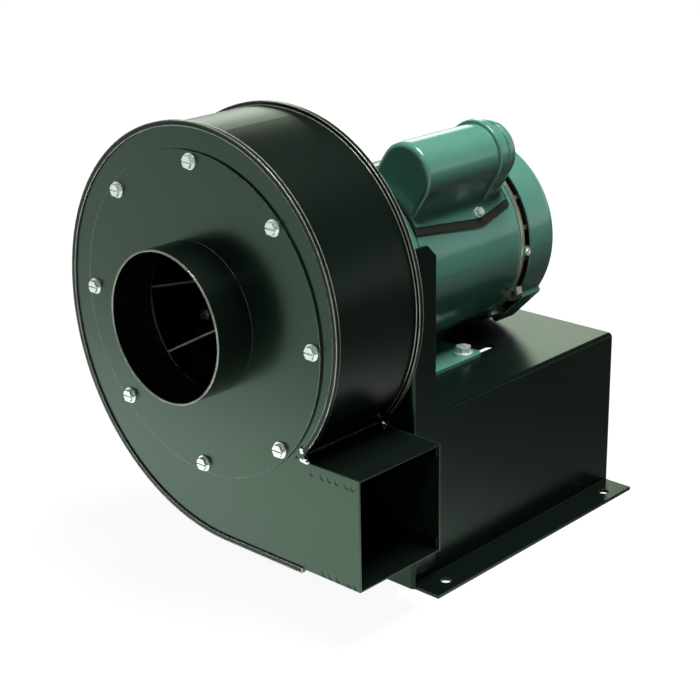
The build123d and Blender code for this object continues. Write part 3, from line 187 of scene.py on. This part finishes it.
def make_room():
    """White up to a little over the horizon for the rays that show it, dim for the rest."""
    world = bpy.data.worlds.new("studio")
    world.use_nodes = True
    scene.world = world
    room = Recipe(world.node_tree)
    direction = room.node("ShaderNodeTexCoord", {}, {}, "Generated")
    height = room.node("ShaderNodeSeparateXYZ", {}, {0: direction}, "Z")
    wall = room.ramp(height, (white_up_to, 1.0), (grey_from, ceiling_grey))
    shown = room.node("ShaderNodeBackground", {}, {"Color": wall, "Strength": 1.0})
    fill = room.node("ShaderNodeBackground", {}, {"Color": grey(1.0), "Strength": fill_strength})
    both = room.node("ShaderNodeMixShader", {}, {0: room.seen(), 1: fill, 2: shown})
    room.fill(world.node_tree.nodes["World Output"], {"Surface": both})


for softbox in softboxes:
    soft_lamp(*softbox)
make_room()


# Floor
# The white paper sweep that the blower stands on. The camera sees it white, with the
# blower's soft shadow on it, and gloss sees a band of painted light glowing on it
# before the blower.
floor_half_width = 12.0
floor_glow = 2.66
shown_near, shown_far = 0.352, 0.376
near_up_to, far_from = 0.5, 1.0
paper_grey = 0.10
paper_rough = 0.9
band_from, band_to = -2.0, 1.0
# A band of painted light glowing on the floor, seen only in gloss, brightest in front of the
# blower.
painted_light_band = ((0.0, 0.36), (0.33, 0.50), (0.43, 0.38), (0.515, 1.0), (0.60, 0.80), (0.665, 0.26),
        (0.70, 0.08), (0.76, 0.01))
bevel_samples = 4
edge_lean_from, edge_lean_full = 0.03, 0.14


class Finish(Recipe):
    """The recipe of one material, on the object's own coordinates."""

    def __init__(self, name):
        self.material = bpy.data.materials.new(name)
        self.material.use_nodes = True
        super().__init__(self.material.node_tree)
        self.shader = self.tree.nodes["Principled BSDF"]

    def surface(self, sockets):
        """Fill the shader's sockets and hand over the finished material."""
        self.fill(self.shader, sockets)
        return self.material

    def place(self):
        return self.node("ShaderNodeTexCoord", {}, {}, "Object")

    def along(self, axis):
        """The place along one axis, in metres."""
        return self.node("ShaderNodeSeparateXYZ", {}, {0: self.place()}, axis)

    def noise(self, scale, detail=3.0, roughness=0.5, stretch=(1.0, 1.0, 1.0)):
        """Noise from 0 to 1, its scale per metre, stretched along an axis where asked."""
        vector = self.node("ShaderNodeMapping", {}, {"Vector": self.place(), "Scale": stretch})
        return self.node("ShaderNodeTexNoise", {}, {"Vector": vector, "Scale": scale,
                                                    "Detail": detail, "Roughness": roughness})

    def rounded(self, radius):
        """The normal of a surface whose edges are rounded by a small radius in metres."""
        return self.node("ShaderNodeBevel", {"samples": bevel_samples}, {"Radius": radius})

    def edges(self, radius):
        """1 along the sharp edges, within the radius, and 0 on the faces."""
        flat = self.node("ShaderNodeNewGeometry", {}, {}, "Normal")
        lean = self.node("ShaderNodeVectorMath", {"operation": "DOT_PRODUCT"},
                         {0: self.rounded(radius), 1: flat}, "Value")
        return self.ramp(1.0 - lean, (edge_lean_from, 0.0), (edge_lean_full, 1.0))

    def relief(self, height, distance, strength=1.0, edge=0.0):
        """A bump from a height, over edges that are softened by a small radius in metres."""
        sockets = {"Height": height, "Distance": distance, "Strength": strength}
        if edge:
            sockets["Normal"] = self.rounded(edge)
        return self.node("ShaderNodeBump", {}, sockets)


def white_sweep():
    finish = Finish("white_sweep")
    depth = (finish.along("Y") - band_from) * (1.0 / (band_to - band_from))
    away = finish.node("ShaderNodeVectorMath", {"operation": "LENGTH"}, {0: finish.place()},
                       "Value")
    shown = finish.ramp(away, (near_up_to, shown_near), (far_from, shown_far))
    camera_ray = finish.node("ShaderNodeLightPath", {}, {}, "Is Camera Ray")
    # Gloss sees the painted light band, the camera the even white.
    level = finish.mix(camera_ray, finish.ramp(depth, *painted_light_band), shown)
    glow = finish.mix(finish.seen(), grey(0.0), level)
    return finish.surface({"Base Color": grey(paper_grey), "Roughness": paper_rough,
                           "Specular IOR Level": 0.0, "Emission Color": glow,
                           "Emission Strength": floor_glow})


def make_floor():
    mesh = bpy.data.meshes.new("floor")
    shape = bmesh.new()
    bmesh.ops.create_grid(shape, x_segments=1, y_segments=1, size=floor_half_width)
    shape.to_mesh(mesh)
    shape.free()
    mesh.materials.append(white_sweep())
    floor = bpy.data.objects.new("floor", mesh)
    scene.collection.objects.link(floor)


make_floor()


# Scroll housing
# One rolled sheet of steel, locked over two flat side plates and closed by the
# outlet's roof, sprayed with a semi-gloss black powder coat after welding.
shaft_height = frame["joints"][0]["pos_m"][2]
outlet_from, outlet_below = 0.112, 0.160
coat_black = rgb(0.0036, 0.0068, 0.0048)
coat_dust = rgb(0.05, 0.07, 0.06)
coat_tint = rgb(0.66, 1.0, 0.74)
# Pale along the rubbed edges: bare metal, and also painted highlights on the rims.
bare_and_highlit_sheet = rgb(0.82, 0.86, 0.74)
rub_and_highlight_width = 0.0017
plate_dark, plate_light = rgb(0.0105, 0.0205, 0.0140), rgb(0.0160, 0.0280, 0.0200)
plate_dust = rgb(0.06, 0.08, 0.07)
plate_tint = rgb(0.48, 1.0, 0.62)
bare_and_highlit_plate = rgb(0.62, 0.70, 0.60)
plate_rub_and_highlight_width = 0.0012
plate_wear_and_highlight, plate_shine = 0.7, 0.25
sheet_edge = 0.0009


def paint(material, *names):
    """Give CAD nodes a finish of their own in place of the plain one."""
    for name in names:
        for slot in nodes[name].material_slots:
            slot.link = "OBJECT"
            slot.material = material


def coat_finish(name):
    """Powder coat: a fine orange peel over slow waves."""
    finish = Finish(name)
    peel = finish.noise(scale=520.0, detail=2.0)
    waves = finish.noise(scale=7.0, detail=2.0)
    return finish, peel, waves


def dusted(finish, colour, dust_colour, amount):
    """A colour with a few specks of dust on it."""
    dust = finish.ramp(finish.noise(scale=1500.0, detail=2.0, roughness=0.7),
                       (0.70, 0.0), (0.78, 1.0))
    return finish.mix(dust * amount, colour, dust_colour)


def rubbed_and_highlit(finish, radius):
    """1 along sharp edges, rubbed down to the metal and painted pale there as highlights, but
    not inside the outlet, where the edges lie in shade.
    """
    patches = finish.ramp(finish.noise(scale=70.0, detail=4.0, roughness=0.6),
                          (0.25, 0.60), (0.50, 1.0))
    outlet = (finish.along("X") > outlet_from) * (finish.along("Z") < outlet_below)
    return finish.edges(radius) * patches * (1.0 - outlet)


def rolled_coat(name, wear_and_highlight, shine, gloss, rough, tint):
    """The coat on rolled and folded sheet, where it lies thin and dark."""
    finish, peel, waves = coat_finish(name)
    colour = dusted(finish, coat_black, coat_dust, amount=0.12)
    # Rubbed edges painted pale: bare metal, and also painted highlights along the rims.
    bare_and_highlit = rubbed_and_highlit(finish, rub_and_highlight_width) * wear_and_highlight
    return finish.surface({"Base Color": finish.mix(bare_and_highlit, colour, bare_and_highlit_sheet),
                           "Metallic": bare_and_highlit * shine, "Roughness": rough + waves * 0.05,
                           "Specular IOR Level": gloss, "Specular Tint": tint,
                           "Normal": finish.relief(peel, distance=0.00001, strength=0.4,
                                                   edge=sheet_edge)})


def plate_coat():
    """The coat on the flat plates, thicker and paler, with a faint cloudiness."""
    finish, peel, waves = coat_finish("plate_powder_coat")
    cloud = finish.noise(scale=18.0, detail=4.0, roughness=0.55)
    body = finish.mix(cloud, plate_dark, plate_light)
    colour = dusted(finish, body, plate_dust, amount=0.25)
    # Rubbed edges painted pale: bare metal, and also painted highlights along the plate's rims.
    bare_and_highlit = rubbed_and_highlit(finish, plate_rub_and_highlight_width) * plate_wear_and_highlight
    return finish.surface({"Base Color": finish.mix(bare_and_highlit, colour, bare_and_highlit_plate),
                           "Metallic": bare_and_highlit * plate_shine,
                           "Roughness": 0.19 + waves * 0.07 + cloud * 0.05, "IOR": 1.50,
                           "Specular Tint": plate_tint,
                           "Normal": finish.relief(peel, distance=0.00006, strength=0.5,
                                                   edge=sheet_edge)})


coat = rolled_coat("black_powder_coat", wear_and_highlight=1.0, shine=0.4, gloss=0.20, rough=0.29,
                   tint=coat_tint)
flat_coat = plate_coat()
paint(coat, "scroll_wrapper", "outlet_roof", "housing_spacers")
paint(flat_coat, "front_side_plate", "rear_side_plate")


# Cut-off welds
# Lumps of weld at the ends of the seam where the wrapper stands on the outlet's
# roof, and the bead between them, run on by hand and sprayed over.
weld_lumps = (((0.1130, -0.2492, 0.1561), (0.0026, 0.0018, 0.0032)),
              ((0.1142, -0.2494, 0.1486), (0.0036, 0.0021, 0.0028)),
              ((0.1172, -0.2492, 0.1474), (0.0026, 0.0017, 0.0018)),
              ((0.1112, -0.1522, 0.1482), (0.0034, 0.0026, 0.0032)),
              ((0.1146, -0.1520, 0.1474), (0.0024, 0.0018, 0.0018)))
lumps_from = 0.1082
foot_bead_x = 0.1060
foot_bead_z = 0.1476
foot_bead_radius = 0.0019
foot_bead_from, foot_bead_to = -0.2466, -0.1540
ripple_count = 26
ripple_length = 0.0030
lump_unevenness, ripple_unevenness = 0.35, 0.25
dent_scale, dent_spread = 1.7, 900.0
# The lumps are pale, as weld through a thin coat and as painted glints.
sprayed_weld, glinting_thin_weld = rgb(0.004, 0.007, 0.005), rgb(0.66, 0.72, 0.66)
crease_angle = math.radians(40.0)


def finished_piece(name, shape, material, body, creased=False):
    """Make an object of a bmesh, smooth apart from its creases, and hang it on its body."""
    bmesh.ops.recalc_face_normals(shape, faces=shape.faces)
    mesh = bpy.data.meshes.new(name)
    shape.to_mesh(mesh)
    shape.free()
    mesh.materials.append(material)
    mesh.shade_smooth()
    piece = bpy.data.objects.new(name, mesh)
    scene.collection.objects.link(piece)
    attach(piece, body)
    if creased:
        piece.modifiers.new("corners", "EDGE_SPLIT").split_angle = crease_angle
    return piece


def add_lump(shape, place, size, unevenness):
    """Add one rounded lump of weld whose skin is a little uneven."""
    made = bmesh.ops.create_icosphere(shape, subdivisions=3, radius=1.0)["verts"]
    for vert in made:
        dent = noise.noise(vert.co * dent_scale + Vector(place) * dent_spread)
        vert.co *= 1.0 + unevenness * dent
    bmesh.ops.scale(shape, vec=size, verts=made)
    bmesh.ops.translate(shape, vec=place, verts=made)


def weld_skin():
    """Weld under a thin coat: dark along the bead, paler and glossier on the lumps, their pale
    colour also painted glints.
    """
    finish = Finish("weld_skin")
    lump = finish.along("X") > lumps_from
    ripple = finish.noise(scale=600.0)
    return finish.surface({"Base Color": finish.mix(lump, sprayed_weld, glinting_thin_weld),
                           "Metallic": lump * 0.9,
                           "Roughness": 0.34 - lump * 0.20 + ripple * 0.06,
                           "Normal": finish.relief(ripple, distance=0.00010, strength=0.5)})


def make_cutoff_beads():
    shape = bmesh.new()
    for place, size in weld_lumps:
        add_lump(shape, place, size, lump_unevenness)
    step = (foot_bead_to - foot_bead_from) / (ripple_count - 1)
    size = (foot_bead_radius, ripple_length, foot_bead_radius)
    for ripple in range(ripple_count):
        place = (foot_bead_x, foot_bead_from + ripple * step, foot_bead_z)
        add_lump(shape, place, size, ripple_unevenness)
    piece = finished_piece("cutoff_beads", shape, weld_skin(), "blower_frame")
    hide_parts("cutoff_welds")


make_cutoff_beads()


# Inlet plate and collar
# A flat steel ring, screwed on over the wheel's opening, with a rolled pipe welded
# into it that takes a hose or a duct, in the same black coat.
paint(flat_coat, "inlet_plate")
collar_coat = rolled_coat("collar_coat", wear_and_highlight=1.0, shine=0.45, gloss=0.24, rough=0.24,
                          tint=coat_tint)
paint(collar_coat, "inlet_collar")
paint(coat, "collar_weld")


# Inlet screws
# Eight slotted hex screws with washer faces, steel in bright zinc plate, that hold
# the inlet plate in clinch nuts behind it.
zinc_dark, zinc_light = rgb(0.80, 0.93, 0.87), rgb(0.94, 1.0, 0.97)
turned_edge = 0.0003


def bright_zinc():
    """Zinc plate: cloudy, with a fine grain and soft edges."""
    finish = Finish("bright_zinc")
    cloud = finish.noise(scale=260.0, detail=4.0, roughness=0.6)
    grain = finish.noise(scale=2600.0, detail=2.0)
    return finish.surface({"Base Color": finish.mix(cloud, zinc_dark, zinc_light),
                           "Metallic": 0.55, "Roughness": 0.18 + cloud * 0.16,
                           "Normal": finish.relief(grain, distance=0.00003, strength=0.5,
                                                   edge=turned_edge)})


zinc = bright_zinc()
paint(zinc, "inlet_screws", "inlet_nuts")


# Wheel
# Eight flat steel blades between a back plate and a coned shroud, sprayed black,
# their cut edges rubbed back to the metal and painted pale as the highlight they catch.
eye_radius = 0.072
blade_front = -0.23625
blade_corner = 0.0734
blade_slant = 0.367
# The pale edge of blades and shroud eye: metal rubbed bare, and a painted highlight on the lit
# edges.
bare_and_highlit_edge = 0.0014
bare_and_highlit_blade = rgb(0.95, 0.96, 0.88)
wheel_tint = rgb(0.80, 1.0, 0.86)
cut_edge = 0.0004


def wheel_coat(name, slant):
    """Black coat, worn to pale metal along an inner edge that narrows by a slant, its pale also
    a painted highlight.
    """
    finish, peel, waves = coat_finish(name)
    colour = dusted(finish, coat_black, coat_dust, amount=0.12)
    across, up = finish.along("X"), finish.along("Z") - shaft_height
    radius = (across * across + up * up) ** 0.5
    edge = (blade_corner if slant else eye_radius) - (finish.along("Y") - blade_front) * slant
    # The pale edge band is worn metal and a painted highlight.
    bare_and_highlit = radius < edge + bare_and_highlit_edge
    wear_and_highlight = bare_and_highlit * finish.ramp(finish.noise(scale=240.0), (0.25, 0.55), (0.60, 1.0))
    return finish.surface({"Base Color": finish.mix(wear_and_highlight, colour, bare_and_highlit_blade),
                           "Roughness": 0.26 + waves * 0.10 + wear_and_highlight * 0.15,
                           "Specular IOR Level": 0.26, "Specular Tint": wheel_tint,
                           "Normal": finish.relief(peel, distance=0.00006, strength=0.5,
                                                   edge=cut_edge)})


paint(wheel_coat("blade_coat", slant=blade_slant), "wheel_blades")
paint(wheel_coat("shroud_coat", slant=0.0), "wheel_shroud")
paint(coat, "wheel_backplate")
paint(zinc, "hub_rivets", "balance_weight")


# Hub
# A hub cast in aluminium and bored for the shaft, riveted to the wheel's back plate
# and held by its key and a set screw.
hub_dark, hub_light = rgb(0.40, 0.41, 0.38), rgb(0.66, 0.66, 0.60)
cast_edge = 0.0005


def cast_metal(name, dark, light):
    """Sand-cast metal: a grained, uneven skin."""
    finish = Finish(name)
    skin = finish.noise(scale=520.0, detail=5.0, roughness=0.65)
    return finish.surface({"Base Color": finish.mix(skin, dark, light), "Metallic": 0.9,
                           "Roughness": 0.28 + skin * 0.2,
                           "Normal": finish.relief(skin, distance=0.00022, strength=0.7,
                                                   edge=cast_edge)})


paint(cast_metal("hub_casting", hub_dark, hub_light), "wheel_hub")


# Motor shaft and bearings
# One ground steel shaft on two ball bearings, with the key and set screw that
# drive the wheel and the governor that works the start switch.
steel_dark, steel_light = grey(0.50), rgb(0.66, 0.66, 0.65)
round_the_shaft = (1.0, 14.0, 1.0)


def ground_steel():
    """Steel with the fine rings that a grinding wheel leaves."""
    finish = Finish("ground_steel")
    grain = finish.noise(scale=300.0, roughness=0.6, stretch=round_the_shaft)
    return finish.surface({"Base Color": finish.mix(grain, steel_dark, steel_light),
                           "Metallic": 1.0, "Roughness": 0.22 + grain * 0.16,
                           "Normal": finish.relief(grain, distance=0.00002, strength=0.4,
                                                   edge=turned_edge)})


steel = ground_steel()
paint(steel, "motor_shaft", "front_bearing_inner", "front_bearing_outer",
      "front_bearing_balls", "front_bearing_cage", "rear_bearing_inner",
      "rear_bearing_outer", "rear_bearing_balls", "rear_bearing_cage", "shaft_key",
      "hub_set_screw", "start_governor")


# Rotor and stator
# Stacks of varnished steel sheet, with cast end rings on the rotor and varnished
# copper wire in the stator.
sheet_dark, sheet_light = rgb(0.14, 0.14, 0.15), rgb(0.30, 0.30, 0.32)
across_the_stack = (0.02, 30.0, 0.02)
copper_dark, copper_light = rgb(0.30, 0.09, 0.03), rgb(0.55, 0.22, 0.08)
ring_dark, ring_light = rgb(0.44, 0.45, 0.44), rgb(0.66, 0.66, 0.64)


def stacked_steel():
    """Thin sheets edge to edge, each a little lighter or darker."""
    finish = Finish("stacked_steel")
    sheets = finish.noise(scale=60.0, detail=1.0, stretch=across_the_stack)
    return finish.surface({"Base Color": finish.mix(sheets, sheet_dark, sheet_light),
                           "Metallic": 1.0, "Roughness": 0.42,
                           "Normal": finish.relief(sheets, distance=0.0002, strength=0.6)})


def winding_wire():
    """Coils of round wire that run round the stator, under varnish."""
    finish = Finish("winding_wire")
    wires = finish.noise(scale=90.0, detail=2.0, stretch=round_the_shaft)
    return finish.surface({"Base Color": finish.mix(wires, copper_dark, copper_light),
                           "Metallic": 0.6, "Roughness": 0.34,
                           "Normal": finish.relief(wires, distance=0.0006, strength=0.8)})


paint(stacked_steel(), "rotor_core", "stator_core")
paint(cast_metal("ring_casting", ring_dark, ring_light), "rotor_end_rings")
paint(winding_wire(), "stator_windings")


# Motor shell and front bell
# A rolled steel shell on a ribbed casting, both sprayed with one coat of teal gloss
# enamel.
teal_deep, teal_pale = rgb(0.078, 0.225, 0.172), rgb(0.098, 0.270, 0.210)
teal_speck = rgb(0.30, 0.42, 0.36)
enamel_edge = 0.0007
sheet_peel, casting_peel = 0.00010, 0.00022


def teal_enamel(name, peel_depth):
    """Gloss enamel with a shallow orange peel, a little uneven in depth of colour."""
    finish = Finish(name)
    peel = finish.noise(scale=330.0, detail=2.0)
    waves = finish.noise(scale=14.0)
    specks = finish.ramp(finish.noise(scale=1300.0, detail=2.0, roughness=0.7),
                         (0.72, 0.0), (0.80, 1.0))
    body = finish.mix(waves, teal_deep, teal_pale)
    return finish.surface({"Base Color": finish.mix(specks * 0.3, body, teal_speck),
                           "Roughness": 0.12 + waves * 0.07, "IOR": 1.50,
                           "Normal": finish.relief(peel, distance=peel_depth, strength=0.5,
                                                   edge=enamel_edge)})


enamel = teal_enamel("teal_enamel", sheet_peel)
paint(enamel, "motor_shell")
paint(teal_enamel("casting_enamel", casting_peel), "front_end_bell")
paint(zinc, "through_bolts", "through_nuts")


# Conduit box
# A drawn steel box on the shell's far side, in the shell's enamel, with a lid that
# two slotted screws hold.
paint(enamel, "conduit_box", "conduit_cover")
paint(zinc, "conduit_screws")


# Rear bell
# A bare aluminium casting whose rim, ribs, lugs and ears show in the gap between
# the shell and the fan cover, with two plated studs.
bell_dark, bell_light = rgb(0.40, 0.42, 0.33), rgb(0.68, 0.69, 0.56)
paint(cast_metal("rear_casting", bell_dark, bell_light), "rear_end_bell")
paint(zinc, "corner_studs")


# Cooling fan
# A fan moulded in black plastic and pressed on the shaft's end: a hub, a wide
# rimmed disc and straight paddles that throw air either way round.
fan_bore, fan_hub, rim_inside, rim_outside = 0.0091, 0.0160, 0.0810, 0.0830
hub_front, disc_front, disc_back, fan_back = 0.0827, 0.0847, 0.0869, 0.1007
fan_profile = ((fan_bore, hub_front), (fan_hub, hub_front), (fan_hub, disc_front),
               (rim_outside, disc_front), (rim_outside, fan_back), (rim_inside, fan_back),
               (rim_inside, disc_back), (fan_hub, disc_back), (fan_hub, fan_back),
               (fan_bore, fan_back))
fan_segments = 72
paddle_count = 8
paddle_inner, paddle_outer = 0.0150, 0.0815
paddle_front, paddle_back = 0.0860, 0.1022
paddle_thickness = 0.0024
moulded_round = 0.0006
moulded_edge = 0.0004
plastic_dark, plastic_light = rgb(0.014, 0.014, 0.015), rgb(0.028, 0.028, 0.03)


def moulded_plastic():
    finish = Finish("black_plastic")
    grain = finish.noise(scale=900.0)
    return finish.surface({"Base Color": finish.mix(grain, plastic_dark, plastic_light),
                           "Roughness": 0.40 + grain * 0.12,
                           "Normal": finish.relief(grain, distance=0.00008, strength=0.4,
                                                   edge=moulded_edge)})


def make_fan():
    """Spin the hub, disc and rim in one, then stand the paddles on the disc."""
    shape = bmesh.new()
    ring = [shape.verts.new((radius, y, shaft_height)) for radius, y in fan_profile]
    edges = [shape.edges.new((ring[index - 1], ring[index])) for index in range(len(ring))]
    bmesh.ops.spin(shape, geom=ring + edges, cent=(0.0, 0.0, shaft_height),
                   axis=(0.0, 1.0, 0.0), angle=math.tau, steps=fan_segments, use_merge=True)
    length, depth = paddle_outer - paddle_inner, paddle_back - paddle_front
    middle = Vector(((paddle_inner + paddle_outer) / 2, (paddle_front + paddle_back) / 2, 0.0))
    for index in range(paddle_count):
        made = bmesh.ops.create_cube(shape, size=1.0)["verts"]
        bmesh.ops.scale(shape, vec=(length, depth, paddle_thickness), verts=made)
        bmesh.ops.translate(shape, vec=middle, verts=made)
        edges = list({edge for vert in made for edge in vert.link_edges})
        made = bmesh.ops.bevel(shape, geom=edges, offset=moulded_round, affect="EDGES",
                               segments=2, profile=0.5, material=-1)["verts"]
        turned = Matrix.Rotation(math.tau * index / paddle_count, 3, "Y")
        bmesh.ops.rotate(shape, matrix=turned, verts=made)
        bmesh.ops.translate(shape, vec=(0.0, 0.0, shaft_height), verts=made)
    piece = finished_piece("moulded_fan", shape, plastic, "rotor", creased=True)
    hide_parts("cooling_fan")


plastic = moulded_plastic()
make_fan()
paint(plastic, "start_switch")


# Fan cover
# A cover drawn from sheet steel over the fan, slotted in its back for the air, in
# the shell's enamel, and held by screws through its tabs.
paint(enamel, "fan_cover")
paint(zinc, "fan_cover_screws")


# Capacitor, its cover and gasket
# A drawn steel cover over the start capacitor, on a thick black rubber gasket that
# stands out evenly round its skirt, held by two hex screws through the skirt.
can_angle = 32.6
gasket_inner, gasket_outer = 0.08255, 0.08445
gasket_outline = ((0.0394, -0.0658), (0.0474, 0.0124), (0.0474, 0.0213), (0.0390, 0.0622))
gasket_width = 0.0065
gasket_steps = 12
rubber_dark, rubber_light = rgb(0.007, 0.010, 0.003), rgb(0.016, 0.020, 0.007)
rubber_edge = 0.0005
can_dark, can_light = grey(0.55), grey(0.74)
along_the_can = (1.0, 0.05, 1.0)


def black_rubber():
    finish = Finish("black_rubber")
    grain = finish.noise(scale=1100.0, detail=4.0, roughness=0.6)
    patches = finish.noise(scale=60.0, detail=2.0)
    return finish.surface({"Base Color": finish.mix(patches, rubber_dark, rubber_light),
                           "Roughness": 0.50 + grain * 0.2, "Specular IOR Level": 0.35,
                           "Normal": finish.relief(grain, distance=0.00012, strength=0.5,
                                                   edge=rubber_edge)})


def make_gasket(material):
    """Cut the outline flat, keep its border, lay it on the shell and give it its wall."""
    shape = bmesh.new()
    widest = gasket_outline[1][0]
    mirrored = [(-x, y) for x, y in reversed(gasket_outline)]
    corners = [shape.verts.new((x, y, 0.0)) for x, y in (*gasket_outline, *mirrored)]
    middle = shape.faces.new(corners)
    middle.normal_update()
    bmesh.ops.inset_region(shape, faces=[middle], thickness=gasket_width, use_boundary=True,
                           use_even_offset=True)
    bmesh.ops.delete(shape, geom=[middle], context="FACES")
    for step in range(1, gasket_steps):
        across = widest * (2.0 * step / gasket_steps - 1.0)
        bmesh.ops.bisect_plane(shape, geom=shape.verts[:] + shape.edges[:] + shape.faces[:],
                               plane_co=(across, 0.0, 0.0), plane_no=(1.0, 0.0, 0.0))
    for vert in shape.verts:
        vert.co.z = math.sqrt(gasket_inner ** 2 - vert.co.x ** 2)
    made = bmesh.ops.extrude_face_region(shape, geom=shape.faces[:],
                                         use_keep_orig=True)["geom"]
    raised = [item for item in made if isinstance(item, bmesh.types.BMVert)]
    swell = gasket_outer / gasket_inner
    bmesh.ops.scale(shape, vec=(swell, 1.0, swell), verts=raised)
    turned = Matrix.Rotation(math.radians(can_angle), 3, "Y")
    bmesh.ops.rotate(shape, matrix=turned, verts=shape.verts)
    bmesh.ops.translate(shape, vec=(0.0, 0.0, shaft_height), verts=shape.verts)
    piece = finished_piece("rubber_gasket", shape, material, "blower_frame",
                           creased=True)
    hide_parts("capacitor_gasket")


def drawn_can():
    """Aluminium with the long faint streaks of a drawing press."""
    finish = Finish("drawn_can")
    streaks = finish.noise(scale=200.0, roughness=0.6, stretch=along_the_can)
    return finish.surface({"Base Color": finish.mix(streaks, can_dark, can_light),
                           "Metallic": 1.0, "Roughness": 0.26 + streaks * 0.16})


paint(enamel, "capacitor_cover")
make_gasket(black_rubber())
paint(zinc, "capacitor_screws")
paint(drawn_can(), "capacitor")


# Motor base
# A stamped steel plate with two saddles, welded to the shell and bolted down
# through the pedestal's slots.
paint(enamel, "motor_base")
paint(zinc, "motor_foot_bolts", "motor_foot_nuts")


# Pedestal and bracket
# A folded steel channel with out-turned feet, and a folded bracket welded over its
# front end that carries the housing, in the same black coat.
folded_tint = rgb(0.46, 1.0, 0.62)
folded_coat = rolled_coat("folded_powder_coat", wear_and_highlight=0.0, shine=0.0, gloss=0.22, rough=0.22,
                          tint=folded_tint)
paint(folded_coat, "pedestal", "support_bracket", "bracket_welds")
paint(zinc, "housing_bolts", "housing_nuts")
